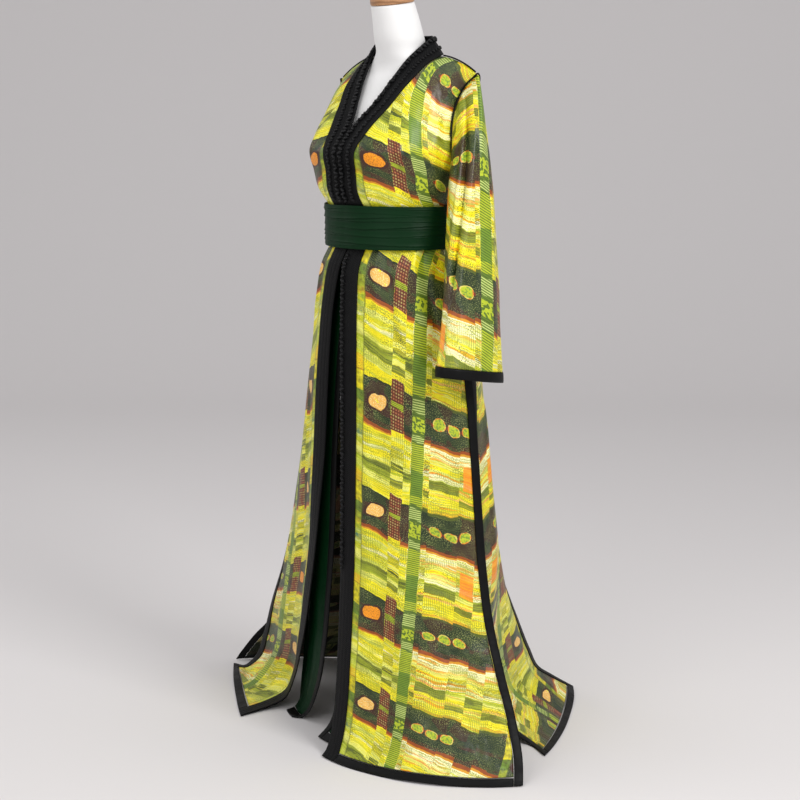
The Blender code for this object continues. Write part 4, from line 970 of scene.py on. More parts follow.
def binding(name):
    """Strip down the slit, strip along the hem and, on a back, strip down the vent."""
    table, meshes, is_back = PANELS[name], [], name.startswith("back")
    down = np.linspace(SLIT_TOP + SEAM / 2, 1, 110)
    whole = full_width(table, down)
    edges = [(down, whole - BINDING_WIDTH + SEAM, whole)]
    if is_back:
        edges = [(down, 0 * down, BINDING_WIDTH - SEAM + 0 * down)]
        late = np.linspace(VENT_TOP + SEAM / 2, 1, 60)
        far = full_width(table, late)
        edges.append((late, far - BINDING_WIDTH + SEAM, far))
    for rows, low, high in edges:
        far = full_width(table, rows)
        angle, width = spaced(table, rows, low, far - high, 9)
        strip = pillow(lay(name, angle, rows), 0.0006)
        meshes.append(grid_mesh(strip, width - width[:, :1], length_down(strip, 4)[:, None]))
    rows = np.linspace(HEM_START[name] + SEAM, 1, 9)
    far = full_width(table, rows)
    low = BINDING_WIDTH if is_back else TRIM_WIDTH
    high = far - BINDING_WIDTH
    angle, width = spaced(table, rows, low, far - high, 100)
    hem = lay(name, angle, rows)
    meshes.append(grid_mesh(hem, np.linspace(0, 0.02, 9)[:, None], width))
    return new_cloth(
        "binding_on_" + name, join(meshes), black_satin, "black_satin", "binding_" + name, INSIDE, BOUND, 0.001,
    )


bindings = {name: binding(name) for name in PANELS}

# ---------------------------------------------------------------- braided trim and its knots
# A black braid edges both fronts, stands up round the neck and meets at the centre back. Two rows of worked silk
# knots are sewn along it, close together at the neck edge and smaller along its middle.
# Columns: round (0 shoulder, 1 centre back), top edge x y z, lower edge x y z.
COLLAR = np.array([
    [0.0, 0.0730, 0.028, 1.459, 0.0990, 0.0296, 1.4215],
    [0.4, 0.0560, 0.046, 1.461, 0.0800, 0.0540, 1.4245],
    [0.7, 0.0300, 0.062, 1.461, 0.0420, 0.0770, 1.4245],
    [1.0, 0.0004, 0.068, 1.461, 0.0004, 0.0880, 1.4245],
])


def braid_material():
    """Black silk braid: chevrons of flat plait, raised in the middle of each strand, with a painted highlight along
    each raised middle.
    """
    material, shader = new_material("black braid", (0.004, 0.004, 0.004), 0.5, Specular_IOR_Level=0.09)
    w = Weaver(material.node_tree)
    across, down = w.cut()
    lane = w.sum("PINGPONG", across, 0.0055)
    strand = w.place(w.add(down, w.times(lane, 0.9)), 0.0046)
    ridge = w.sum("SINE", w.times(strand, np.pi))
    channel = w.sum("SINE", w.times(w.place(across, 0.011), np.pi))
    fuzz = w.noise(w.point(across, down), 1500, 1)
    height = w.add(w.add(w.times(ridge, 0.0006), w.times(channel, 0.0007)), w.times(fuzz, 0.0001))
    w.bump(shader, height)
    # Painted highlight: each strand's raised middle is coloured lighter than the black.
    w.feed(shader.inputs["Base Color"], w.blend(w.times(ridge, 0.8), KNOT_BLACK, (0.0075, 0.0075, 0.008)))
    w.feed(shader.inputs["Roughness"], w.scaled(fuzz, 0.3, 0.36))
    return material


black_braid = braid_material()


def trim_surface(name, side, columns=15):
    """Trim from the centre back of the collar, over the shoulder, down the V and the opening edge to the hem."""
    down = np.linspace(0, 1, 150)
    whole = full_width(PANELS[name], down)
    lower = lay(name, spaced(PANELS[name], down, 0, whole - TRIM_WIDTH + SEAM, columns)[0], down)
    up = np.linspace(1, 0, UPPER_ROWS)[:-1]
    row = read(UPPER_FRONT, up)
    neck, outer = row[:, 0:3] * [side, 1, 1], row[:, 3:6] * [side, 1, 1]
    steps = np.linspace(0, 1, columns)[None, :, None]
    upper = neck[:, None] * (1 - steps) + outer[:, None] * steps
    around = read(COLLAR, np.linspace(1, 0, COLLAR_ROWS)[:-1])
    stand = (around[:, None, 0:3] * (1 - steps) + around[:, None, 3:6] * steps) * [side, 1, 1]
    points = np.vstack([stand, upper, lower])
    return points, np.linspace(0, TRIM_WIDTH, columns)[None, :], length_down(points, columns // 2)[:, None]


KNOT_SIDES, KNOT_RINGS = 8, 4


def knots(name, path, normal, spacing, size):
    """Row of silk knots: flattened balls with a twist of strands, each leaning along the row in turn."""
    steps = np.linalg.norm(np.diff(path, axis=0), axis=1)
    length = np.concatenate([[0], np.cumsum(steps)])
    at = np.arange(spacing / 2, length[-1], spacing)
    centre = np.stack([np.interp(at, length, path[:, c]) for c in range(3)], 1)
    out = np.stack([np.interp(at, length, normal[:, c]) for c in range(3)], 1)
    out /= np.linalg.norm(out, axis=1, keepdims=True)
    run = np.gradient(centre, axis=0)
    run /= np.linalg.norm(run, axis=1, keepdims=True)
    across = np.cross(out, run)
    turn = np.arange(KNOT_SIDES) / KNOT_SIDES * 2 * np.pi
    rise = np.linspace(-np.pi / 2, np.pi / 2, KNOT_RINGS + 2)[1:-1]
    ball = np.stack(
        [
            np.outer(np.cos(rise), np.cos(turn)), np.outer(np.cos(rise), np.sin(turn)),
            np.outer(np.sin(rise), np.ones(KNOT_SIDES)),
        ], -1,
    ).reshape(-1, 3)
    strands = 1 + 0.13 * np.cos(3 * np.tile(turn, KNOT_RINGS) + 2 * ball[:, 2])
    ball = np.vstack([ball * strands[:, None], [0, 0, -1], [0, 0, 1]])
    lean = 0.35 * (-1.0) ** np.arange(len(at))
    grow = size * (1 + 0.14 * np.sin(at * 911.0))
    x, y, z = ball[:, 0] * 1.1, ball[:, 1] * 0.62, ball[:, 2] * 0.62
    shape = x[None, :, None] * (across + lean[:, None] * run)[:, None] + y[None, :, None] * run[:, None]
    points = centre[:, None] + grow[:, None, None] * (shape + z[None, :, None] * out[:, None])
    ring = np.arange(KNOT_RINGS * KNOT_SIDES).reshape(KNOT_RINGS, KNOT_SIDES)
    next_along = np.roll(ring, -1, 1)
    low_tip, high_tip, count = ring.size, ring.size + 1, ring.size + 2
    quads = np.stack([ring[:-1], next_along[:-1], next_along[1:], ring[1:]], -1).reshape(-1, 4)
    caps = [[next_along[0, k], ring[0, k], low_tip] for k in range(KNOT_SIDES)]
    caps += [[ring[-1, k], next_along[-1, k], high_tip] for k in range(KNOT_SIDES)]
    faces = [[int(v) + count * i for v in face] for i in range(len(at)) for face in list(quads) + caps]
    mesh = bpy.data.meshes.new(name)
    mesh.from_pydata(points.reshape(-1, 3), [], faces)
    mesh.shade_smooth()
    return new_piece(name, mesh, silk_knot, "black_braid")


silk_knot, knot_shader = new_material("black silk knot", (0.004, 0.004, 0.004), 0.42, Specular_IOR_Level=0.22)
w = Weaver(silk_knot.node_tree)
place = w.place_in_piece()
w.bump(knot_shader, w.times(w.noise(place, 1400, 2), 0.0006))
w.feed(knot_shader.inputs["Base Color"], w.blend(w.noise(place, 500, 1), KNOT_BLACK, (0.009, 0.009, 0.010)))

# Rows of knots: lift off the trim, spacing, size.
EDGE_KNOTS, SMALL_KNOTS, LOWER_KNOTS = (0.0036, 0.0082, 0.0050), (0.0026, 0.0070, 0.0036), (0.0036, 0.0088, 0.0048)
# Where the rows run: they start at these rows of the trim, and stop at these heights above and below the belt.
FIRST_NECK_ROW, BUST_ROW = 12, 60
ABOVE_BELT, BELOW_BELT, LOWEST_KNOT = 1.132, 1.036, 0.38


def knot_row(name, line, normal, rows, lift, spacing, size):
    """Knots down the chosen rows of a line on the trim."""
    return knots(name, (line + normal * lift)[rows], normal[rows], spacing, size)


trims = {}
for name, side, hand in (("front_left", 1, "left"), ("front_right", -1, "right")):
    points, across, down_cut = trim_surface(name, side)
    trim = new_cloth(
        "braid_" + hand, grid_mesh(points, across, down_cut), black_braid, "black_braid", "front_trim_" + hand, INSIDE,
        BOUND, 0.001,
    )
    normal = normals(points)
    normal *= np.sign((normal[BUST_ROW:, :, :2] * (points[BUST_ROW:, :, :2] - [0, 0.05])).sum())
    height, number = points[:, 0, 2], np.arange(len(points))
    neck_row = (number > FIRST_NECK_ROW) & (height > ABOVE_BELT)
    low_row = (number > COLLAR_ROWS) & (height < BELOW_BELT) & (height > LOWEST_KNOT)
    place = points[:, 2] * 0.6 + points[:, 3] * 0.4
    middle = points[:, 9]
    edge_knots = knot_row("knots_" + hand, place, normal[:, 2], neck_row, *EDGE_KNOTS)
    small_knots = knot_row("small_knots_" + hand, middle, normal[:, 9], neck_row, *SMALL_KNOTS)
    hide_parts("knot_row_" + hand)
    trims[hand] = [trim, edge_knots, small_knots]
    if side > 0:
        lower_knots = knot_row("knots_below_belt", place, normal[:, 2], low_row, *LOWER_KNOTS)
        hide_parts("knot_row_lower")
        trims[hand].append(lower_knots)

# ---------------------------------------------------------------- sleeves and cuffs
# Straight sleeves of the same satin leave the armhole sideways and hang to the hip, widening to a black satin cuff.
# Columns: place (0 armhole, 1 cuff seam), centre x y z, half width x, half depth y, tilt.
SLEEVE_LEFT = np.array([
    [0.30, 0.208, 0.006, 1.140, 0.035, 0.054, 0.00],
    [0.45, 0.215, 0.000, 1.063, 0.037, 0.059, -0.03],
    [0.65, 0.227, -0.010, 0.969, 0.038, 0.066, -0.08],
    [0.83, 0.238, -0.021, 0.891, 0.039, 0.073, -0.12],
    [1.00, 0.247, -0.033, 0.816, 0.041, 0.083, -0.16],
])
SLEEVE_RIGHT = np.array([
    [0.30, -0.203, 0.075, 1.140, 0.033, 0.050, 0.00],
    [0.45, -0.206, 0.100, 1.063, 0.034, 0.055, -0.02],
    [0.65, -0.220, 0.122, 0.969, 0.036, 0.060, -0.05],
    [0.83, -0.233, 0.136, 0.891, 0.038, 0.066, -0.08],
    [1.00, -0.244, 0.146, 0.816, 0.040, 0.075, -0.10],
])
SLEEVE_SIDES = 110
CUFF_DEPTH, CUFF_GAP, CUFF_FLARE = 0.021, 0.0004, 1.012
# The sleeve's print: seam's place round it, metres across at its top, scale down, slant and shift.
SLEEVE_SEAM, SLEEVE_PRINT_ACROSS = 0.35, 0.137
SLEEVE_PRINT_SCALE, SLEEVE_PRINT_SLANT, SLEEVE_PRINT_SHIFT = 0.78, 0.30, 0.016
# Folds of a sleeve: turn and place at one end, turn and place at the other, half width in turns, height.
SLEEVE_FOLDS = np.array([
    [0.105, 0.03, 0.222, 0.68, 0.013, -0.0140],
    [0.062, 0.08, 0.165, 0.74, 0.026, 0.0060],
    [0.150, 0.08, 0.262, 0.66, 0.022, 0.0050],
    [0.270, 0.60, 0.250, 1.00, 0.030, -0.0035],
    [0.080, 0.16, 0.110, 0.48, 0.030, 0.0022],
    [0.020, 0.30, 0.060, 0.80, 0.034, -0.0026],
    [-0.080, 0.24, -0.040, 0.94, 0.036, 0.0030],
    [0.140, 0.55, 0.130, 1.00, 0.030, 0.0026],
    [0.700, 0.12, 0.740, 0.60, 0.026, -0.0060],
    [0.780, 0.16, 0.800, 0.75, 0.030, 0.0040],
    [0.560, 0.45, 0.600, 1.00, 0.030, 0.0030],
    [0.460, 0.40, 0.440, 0.95, 0.030, -0.0030],
])


def armhole_loop(side, turns):
    """Closed armhole; 0 shoulder tip, 0.25 front, 0.5 underarm, 0.75 back."""
    front = UPPER_FRONT[::-1, 7:10]
    back = UPPER_BACK[:, 1:4]
    points = np.vstack([front, back[1:]])
    turn = len(front) - 1
    length = np.concatenate([[0], np.cumsum(np.linalg.norm(np.diff(points, axis=0), axis=1))])
    half = length[turn]
    knots = np.where(length <= half, length / half / 2, 0.5 + (length - half) / (length[-1] - half) / 2)
    loop = along(knots, points, np.asarray(turns) % 1.0)
    if side < 0:
        loop[:, 2] -= SHOULDER_DROP * np.clip((loop[:, 2] - 1.29) / 0.095, 0, 1)
    return loop * [side, 1, 1]


def armhole_rims(hand):
    """Each panel's rim at the armhole, and the line four columns in from it."""
    front, back = surfaces["front_" + hand][:UPPER_ROWS], surfaces["back_" + hand][:UPPER_ROWS]
    return (front[:, -1], front[:, -5]), (back[:, 0], back[:, 4])


def into_panel(edge, at):
    """Unit directions from points of the armhole into the panels; edge holds each panel's rim and one column in."""
    found = np.empty_like(at)
    for k, point in enumerate(at):
        rim, inner = edge[0] if point[1] < 0.031 else edge[1]
        order = np.argsort(rim[:, 2])
        near = [np.interp(point[2], rim[order, 2], (inner - rim)[order, c]) for c in range(3)]
        found[k] = near / np.linalg.norm(near)
    return found


def sleeve_rings(table, side, places, turns, edge):
    """Rings from the armhole, leaving sideways, to level rings further down."""
    angle = turns * 2 * np.pi

    def level(at):
        row = read(table, at)[:, None, :]
        x = row[..., 0] + side * row[..., 3] * np.cos(angle)
        y = -row[..., 4] * np.sin(angle)
        return np.stack([x, row[..., 1] + y, row[..., 2] + row[..., 5] * y], 2)

    first = table[0, 0]
    top = armhole_loop(side, turns)
    top = top - into_panel(edge, top) * 0.0012 + [side * 0.0022, 0, 0]
    below = level(np.array([first, first + 0.02]))
    slope = (below[1] - below[0]) / 0.02 * first
    leave = (below[0] - top) * [1.9, 1.0, 0.85]
    t = np.clip(places / first, 0, 1)[:, None, None]
    shoulder = (
        (2 * t**3 - 3 * t**2 + 1) * top
        + (t**3 - 2 * t**2 + t) * leave
        + (3 * t**2 - 2 * t**3) * below[0]
        + (t**3 - t**2) * slope
    )
    return np.where((places < first)[:, None, None], shoulder, level(np.maximum(places, first)))


def sleeve_folds(rings, turns, places):
    """Pushes the rings in and out along the folds, away from the middle of each ring."""
    turn, place = np.meshgrid(turns, places)
    height = np.zeros(turn.shape)
    for t0, p0, t1, p1, half, tall in SLEEVE_FOLDS:
        share = np.clip((place - p0) / (p1 - p0), 0, 1)
        off = (turn - (t0 + (t1 - t0) * share) + 0.5) % 1.0 - 0.5
        fade = np.clip((place - p0) / 0.10 + 0.3, 0, 1) * np.clip((p1 - place) / 0.16 + 0.35, 0, 1)
        height += tall * np.exp(-((off / half) ** 2)) * fade
    height *= np.clip(places / 0.06, 0, 1)[:, None]
    away = rings - rings.mean(axis=1, keepdims=True)
    away[..., 2] = 0
    away /= np.linalg.norm(away, axis=2, keepdims=True)
    return rings + away * height[..., None]


for hand, side, table in (("left", 1, SLEEVE_LEFT), ("right", -1, SLEEVE_RIGHT)):
    armhole = armhole_rims(hand)
    turns = np.arange(SLEEVE_SIDES) / SLEEVE_SIDES
    places = np.linspace(0, 1, 120)
    rings = sleeve_folds(sleeve_rings(table, side, places, turns, armhole), turns, places)
    girth = np.linalg.norm(rings - np.roll(rings, 1, axis=1), axis=2).sum(axis=1)
    signed = (turns + SLEEVE_SEAM) % 1.0 - SLEEVE_SEAM
    order = np.argsort(signed)
    rings, signed = rings[:, order], signed[order]
    across = SLEEVE_PRINT_ACROSS + (signed[None, :] + 0.01) * girth[:, None]
    run = length_down(rings, SLEEVE_SIDES // 3)[:, None]
    print_down = SLEEVE_PRINT_SCALE * run + SLEEVE_PRINT_SLANT * across - SLEEVE_PRINT_SHIFT
    sleeve = new_cloth(
        "kaftan_sleeve_" + hand, grid_mesh(rings, across, print_down, wrap=True), printed_satin, "printed_satin",
        "sleeve_" + hand, rings.mean(axis=(0, 1)),
    )
    last = rings[-1]
    middle = last.mean(axis=0)
    fall = np.linspace(0, 1, 7)[:, None, None]
    flared = middle + (last - middle) * CUFF_FLARE
    band = last * (1 - fall) + flared * fall - [0, 0, CUFF_GAP] - fall * [0, 0, CUFF_DEPTH - CUFF_GAP]
    away = (last - middle) * [1, 1, 0]
    band = band + away / np.linalg.norm(away, axis=1, keepdims=True) * 0.0008 * (1 - (2 * fall - 1) ** 4)
    band_mesh = grid_mesh(band, fall[..., 0] * CUFF_DEPTH, np.linspace(0, 0.42, SLEEVE_SIDES)[None, :], wrap=True)
    new_cloth(
        "kaftan_cuff_" + hand, band_mesh, black_satin, "black_satin", "cuff_" + hand, middle, BOUND, 0.001,
    )
    surfaces["sleeve_" + hand] = sleeve

# ---------------------------------------------------------------- cords in the seams
# A thin black cord is caught in each shoulder seam and over the top of each armhole.
PIPING_RADIUS = 0.0016


def cord_mesh(path, sides=10):
    """Tube: circles square to a path that is smoothed through its points, its ends closed by small rings."""
    knots_at = np.linspace(0, 1, len(path))
    path = along(knots_at, path, np.linspace(0, 1, 8 * len(path)))
    run = np.gradient(path, axis=0)
    run /= np.linalg.norm(run, axis=1, keepdims=True)
    side = np.cross(run, [0.3, 0.2, 1.0])
    side /= np.linalg.norm(side, axis=1, keepdims=True)
    other = np.cross(run, side)
    turn = np.arange(sides) / sides * 2 * np.pi
    size = np.full(len(path), PIPING_RADIUS)
    size[[0, -1]] *= 0.35
    circle = np.cos(turn)[None, :, None] * side[:, None] + np.sin(turn)[None, :, None] * other[:, None]
    return grid_mesh(
        path[:, None] + size[:, None, None] * circle, np.linspace(0, 0.01, sides)[None, :],
        np.linspace(0, 0.3, len(path))[:, None], wrap=True,
    )


for hand, side, table in (("left", 1, SLEEVE_LEFT), ("right", -1, SLEEVE_RIGHT)):
    lift = PIPING_RADIUS + 0.0004
    top = read(UPPER_FRONT, np.array([1.0]))[0]
    steps = np.linspace(0.05, 0.955, 8)[:, None]
    seam = top[3:6] * (1 - steps) + top[6:9] * steps
    seam[:, 1] += 0.0013
    seam[:, 2] += 4 * 0.007 * (steps * (1 - steps))[:, 0] + lift
    if side < 0:
        seam[:, 2] -= SHOULDER_DROP * steps[:, 0]
    shoulder = new_piece("shoulder_cord_" + hand, cord_mesh(seam * [side, 1, 1]), black_satin, "black_satin")
    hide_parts("shoulder_piping_" + hand)
    armhole = armhole_rims(hand)
    turns = np.concatenate([np.linspace(-0.34, -0.03, 7), np.linspace(0.03, 0.33, 7)])
    rim = armhole_loop(side, turns)
    panel = into_panel(armhole, rim)
    rings = sleeve_rings(table, side, np.array([0, 0.04]), turns, armhole)
    around = np.gradient(rim, axis=0)
    radial = rim - [0, 0.025, 1.295]
    faces = []
    for leaving, away in ((panel, radial), (rings[1] - rings[0], radial * [0, 1, 1])):
        normal = np.cross(around, leaving)
        normal *= np.sign((normal * away).sum(axis=1))[:, None]
        faces.append(normal / np.linalg.norm(normal, axis=1, keepdims=True))
    both = faces[0] + faces[1]
    size = np.maximum(np.linalg.norm(both, axis=1, keepdims=True), 0.75)
    path = (rim + rings[0]) / 2 + both / size**2 * 2 * (PIPING_RADIUS + 0.0006)
    over = armhole_loop(side, np.array([0.0])) + [side * 0.0012, 0.0006, 0.0022]
    path = np.vstack([path[:7], over, path[7:]])
    armhole_cord = new_piece("armhole_cord_" + hand, cord_mesh(path), black_satin, "black_satin")
    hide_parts("armhole_piping_" + hand)

# ---------------------------------------------------------------- the belt
# A wide belt of dark green satin, laid in narrow horizontal pleats that wander and run into each other.
BELT_LOW, BELT_HIGH = 1.043, 1.128
BELT_STAND_OFF = 0.010
BELT_WALL = 0.002
# Pleats: height above the lower edge at the front, drop towards the back, depth, half width.
PLEATS = np.array([
    [0.005, 0.002, 0.0014, 0.0022], [0.012, -0.003, 0.0022, 0.0020], [0.021, 0.004, 0.0018, 0.0026],
    [0.029, -0.002, 0.0024, 0.0022], [0.037, 0.005, 0.0016, 0.0024], [0.045, -0.004, 0.0024, 0.0026],
    [0.054, 0.003, 0.0020, 0.0022], [0.062, -0.003, 0.0024, 0.0024], [0.070, 0.004, 0.0018, 0.0022],
    [0.078, -0.002, 0.0022, 0.0020],
])


def belt_surface():
    """Ring outside the waist; every pleat is a soft step, steep below and easy above."""
    height = np.linspace(BELT_HIGH, BELT_LOW, 110)
    quarter = np.linspace(0, 1, 70)
    down = np.interp(-height, -FRONT_LEFT[:, 3], FRONT_LEFT[:, 0])
    rows, angle = np.tile(down[:, None], (1, 70)), np.tile(quarter, (110, 1))
    front, back = section_points(FRONT_LEFT, angle, rows), section_points(BACK_LEFT, angle, rows)
    half = np.concatenate([front, back[:, 1:]], axis=1)
    ring = np.concatenate([half[:, :-1], (half * [-1, 1, 1])[:, :0:-1]], axis=1)
    ring[..., 2] = height[:, None]
    away = (ring - [0, -0.025, 0]) * [1, 1, 0]
    away /= np.linalg.norm(away, axis=2, keepdims=True)
    own = (away * ring).sum(axis=2)[..., None]
    widest = own.max(axis=0)[None]
    turn = np.arange(ring.shape[1]) / ring.shape[1] * 2 * np.pi
    pleat = np.zeros(ring.shape[:2])
    for base, drop, depth, half_width in PLEATS:
        line = BELT_LOW + base + drop * np.sin(turn + 40 * base) + 0.0016 * np.sin(3 * turn + 90 * base)
        off = (height[:, None] - line[None, :]) / half_width
        strength = 0.65 + 0.35 * np.sin(2 * turn + 130 * base)
        pleat += depth * strength[None, :] * np.where(off > 0, np.exp(-off / 1.6), -0.6 * np.exp(off * 1.5))
    swell = 0.0020 * np.sin(np.pi * np.linspace(0, 1, 110))[:, None] ** 0.6
    ring = ring + away * (0.75 * (widest - own) + BELT_STAND_OFF - 0.0035 + (pleat * 0.9 + swell)[..., None])
    edge = 0.0016 * np.sin(2 * turn + 0.6) * np.linspace(1, 0, 110)[:, None] ** 3
    ring[..., 2] += edge
    girth = np.cumsum(np.full(ring.shape[1], 0.79 / ring.shape[1]))[None, :]
    return ring, girth, (BELT_HIGH - height)[:, None]


ring, girth, depth = belt_surface()
belt = new_cloth("pleated_belt", grid_mesh(ring, girth, depth, wrap=True), belt_satin, "belt_green", "belt",
                 np.array([0, -0.025, 1.08]), BELT_WALL)

# ---------------------------------------------------------------- the under-skirt's fronts
# Dark green satin hangs from the waist under the fronts, in soft upright folds, with a black bound edge and hem.
UNDER_BINDING_WIDTH, UNDER_HEM_START = 0.016, 0.98
UNDER_ROWS, UNDER_COLUMNS = 110, 60
# Columns: down, opening edge x y z, side edge x y z, fullness.
UNDER_LEFT = np.array([
    [0.00, 0.003, -0.111, 1.000, 0.130, -0.030, 1.000, 0.030],
    [0.25, 0.004, -0.120, 0.750, 0.162, -0.035, 0.750, 0.033],
    [0.50, 0.000, -0.122, 0.500, 0.180, -0.060, 0.500, 0.030],
    [0.70, -0.010, -0.126, 0.300, 0.190, -0.080, 0.300, 0.026],
    [0.88, -0.036, -0.130, 0.120, 0.200, -0.095, 0.120, 0.024],
    [0.97, -0.066, -0.136, 0.030, 0.206, -0.100, 0.030, 0.026],
    [1.00, -0.089, -0.142, 0.003, 0.208, -0.104, 0.003, 0.028],
])
UNDER_RIGHT = np.array([
    [0.00, -0.004, -0.111, 1.000, -0.130, -0.030, 1.000, 0.030],
    [0.12, -0.020, -0.121, 0.880, -0.148, -0.030, 0.880, 0.031],
    [0.25, -0.035, -0.123, 0.750, -0.165, -0.028, 0.750, 0.030],
    [0.38, -0.048, -0.121, 0.620, -0.190, -0.030, 0.620, 0.030],
    [0.58, -0.066, -0.115, 0.420, -0.225, -0.034, 0.420, 0.028],
    [0.71, -0.078, -0.117, 0.290, -0.240, -0.036, 0.290, 0.024],
    [0.80, -0.092, -0.116, 0.200, -0.250, -0.038, 0.200, 0.018],
    [0.90, -0.128, -0.108, 0.090, -0.262, -0.040, 0.090, 0.010],
    [0.96, -0.180, -0.092, 0.022, -0.270, -0.044, 0.024, 0.004],
    [0.98, -0.203, -0.088, 0.005, -0.272, -0.054, 0.006, 0.002],
    [1.00, -0.226, -0.099, 0.003, -0.270, -0.078, 0.003, 0.001],
])


def under_surface(table, down, first, second, columns):
    """Section points with upright folds that grow towards the hem; the edges stay where the cut puts them."""
    angle, width = spaced(table, down, first, second, columns)
    rows = np.broadcast_to(down[:, None], angle.shape)
    points = section_points(table, angle, rows)
    wave = np.sin(width * 150 + 2.0 * rows) * 0.6 + np.sin(width * 83 + 1.0 + 3.0 * rows) * 0.4
    tall = 0.0012 + 0.0030 * rows
    quiet = np.clip((width - 0.004) / 0.03, 0, 1) * np.clip((1.0 - rows) / 0.03, 0.15, 1)
    points = points - facing_out(points) * (tall * (0.5 - 0.5 * wave) * quiet)[..., None]
    points[..., 2] = np.maximum(points[..., 2], FLOOR_CLEARANCE)
    return points, width


under_pieces = []
for hand, table in (("left", UNDER_LEFT), ("right", UNDER_RIGHT)):
    down = np.linspace(0, UNDER_HEM_START - 0.0005, UNDER_ROWS)
    points, width = under_surface(table, down, UNDER_BINDING_WIDTH, 0, UNDER_COLUMNS)
    cloth_piece = new_cloth(
        "under_front_" + hand, grid_mesh(points, width, length_down(points, 20)[:, None]), under_satin,
        "under_skirt_green", "under_skirt_" + hand,
    )
    down = np.linspace(0, 1, UNDER_ROWS)
    whole = full_width(table, down)
    strip, width = under_surface(table, down, 0, whole - UNDER_BINDING_WIDTH + SEAM, 7)
    strips = [grid_mesh(pillow(strip, 0.0005), width, length_down(strip, 3)[:, None])]
    rows = np.linspace(UNDER_HEM_START + 0.0005, 1.0, 7)
    hem, width = under_surface(table, rows, UNDER_BINDING_WIDTH - SEAM, 0, UNDER_COLUMNS)
    strips.append(grid_mesh(hem, np.linspace(0, 0.016, 7)[:, None], width))
    edge_piece = new_cloth(
        "under_edge_" + hand, join(strips), black_satin, "black_satin", "under_binding_" + hand, INSIDE, BOUND, 0.001,
    )
    under_pieces += [(cloth_piece, edge_piece)]

# ---------------------------------------------------------------- the dress form and its stand
# A smooth limbless form covered in white jersey, with a turned wooden cap on its neck, on a pole and a round base.
# Columns: height, half width, front y, back y.
FORM = np.array([
    [0.740, 0.128, -0.086, 0.095],
    [0.760, 0.136, -0.094, 0.103],
    [0.850, 0.138, -0.097, 0.100],
    [0.950, 0.128, -0.095, 0.084],
    [1.020, 0.118, -0.093, 0.066],
    [1.080, 0.114, -0.094, 0.056],
    [1.140, 0.124, -0.110, 0.062],
    [1.200, 0.145, -0.132, 0.080],
    [1.240, 0.147, -0.130, 0.090],
    [1.280, 0.145, -0.103, 0.094],
    [1.320, 0.149, -0.076, 0.092],
    [1.350, 0.156, -0.054, 0.085],
    [1.372, 0.144, -0.040, 0.077],
    [1.390, 0.116, -0.029, 0.070],
    [1.405, 0.083, -0.026, 0.066],
    [1.425, 0.057, -0.030, 0.062],
    [1.457, 0.0500, -0.040, 0.058],
    [1.490, 0.0455, -0.046, 0.047],
    [1.524, 0.0420, -0.052, 0.033],
])
NECK_TILT = 0.14
CAP_RADIUS, CAP_HEIGHT = 0.0445, 0.020
POLE_RADIUS = 0.0125
BASE_RADIUS, BASE_RIM, BASE_CROWN = 0.132, 0.010, 0.018


def form_points():
    """Rings of rounded sections, closed at the neck and underneath by rings that shrink to the middle."""
    height = np.concatenate([np.linspace(0.74, 1.20, 60), np.linspace(1.205, 1.524, 70)])
    row = read(FORM, height)
    angle = np.arange(96) / 96 * 2 * np.pi
    c, s = np.cos(angle), np.sin(angle)
    middle, depth = (row[:, 1:2] + row[:, 2:3]) / 2, (row[:, 2:3] - row[:, 1:2]) / 2
    x = row[:, 0:1] * np.sign(c) * np.abs(c) ** 0.92
    y = depth * np.sign(s) * np.abs(s) ** 0.92
    tilt = NECK_TILT * np.clip((height - 1.457) / 0.06, 0, 1)[:, None]
    rings = np.stack([x, middle + y, height[:, None] + tilt * y], 2)

    def cap(ring, shares):
        centre = ring.mean(axis=0)
        return centre + (ring - centre) * np.array(shares)[:, None, None]

    return np.vstack(
        [cap(rings[0], [0.002, 0.3, 0.7, 0.96]), rings, cap(rings[-1], [0.96, 0.6, 0.3, 0.002])]
    ), rings[-1]


def jersey_material():
    """White stretch jersey: fine ribs of knitting and a faint greyness in soft random patches."""
    material, shader = new_material(
        "white jersey", (0.86, 0.85, 0.84), 0.75, Specular_IOR_Level=0.25, Sheen_Weight=0.15,
    )
    w = Weaver(material.node_tree)
    place = w.place_in_piece()
    parts = w.node("ShaderNodeSeparateXYZ")
    w.feed(parts.inputs[0], place)
    rib = w.sum("SINE", w.times(parts.outputs[2], 2 * np.pi / 0.0012))
    tone = w.noise(place, 9, 3)
    w.feed(shader.inputs["Base Color"], w.blend(w.scaled(tone, 0.5, 0.1), (0.80, 0.79, 0.78), (0.70, 0.69, 0.68)))
    w.bump(shader, w.add(w.times(rib, 0.00004), w.times(w.noise(place, 900, 1), 0.00008)))
    return material


rings, neck_ring = form_points()
form = new_piece("jersey_form", grid_mesh(rings, wrap=True), jersey_material(), "form_white", INSIDE)
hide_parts("dress_form")


def turned_mesh(profile, sides, tilt=0.0, centre=(0, 0, 0)):
    """Turned piece: a profile of (radius, height) carried round the axis, then tilted about X and put in place."""
    profile = np.array(profile)
    angle = np.arange(sides) / sides * 2 * np.pi
    radius = np.maximum(profile[:, 0:1], 0.00002)
    points = np.stack(
        [radius * np.cos(angle), radius * np.sin(angle), np.broadcast_to(profile[:, 1:2], (len(profile), sides))], -1,
    )
    turn = np.array(Matrix.Rotation(tilt, 3, "X"))
    return grid_mesh(points @ turn.T + np.array(centre), wrap=True)


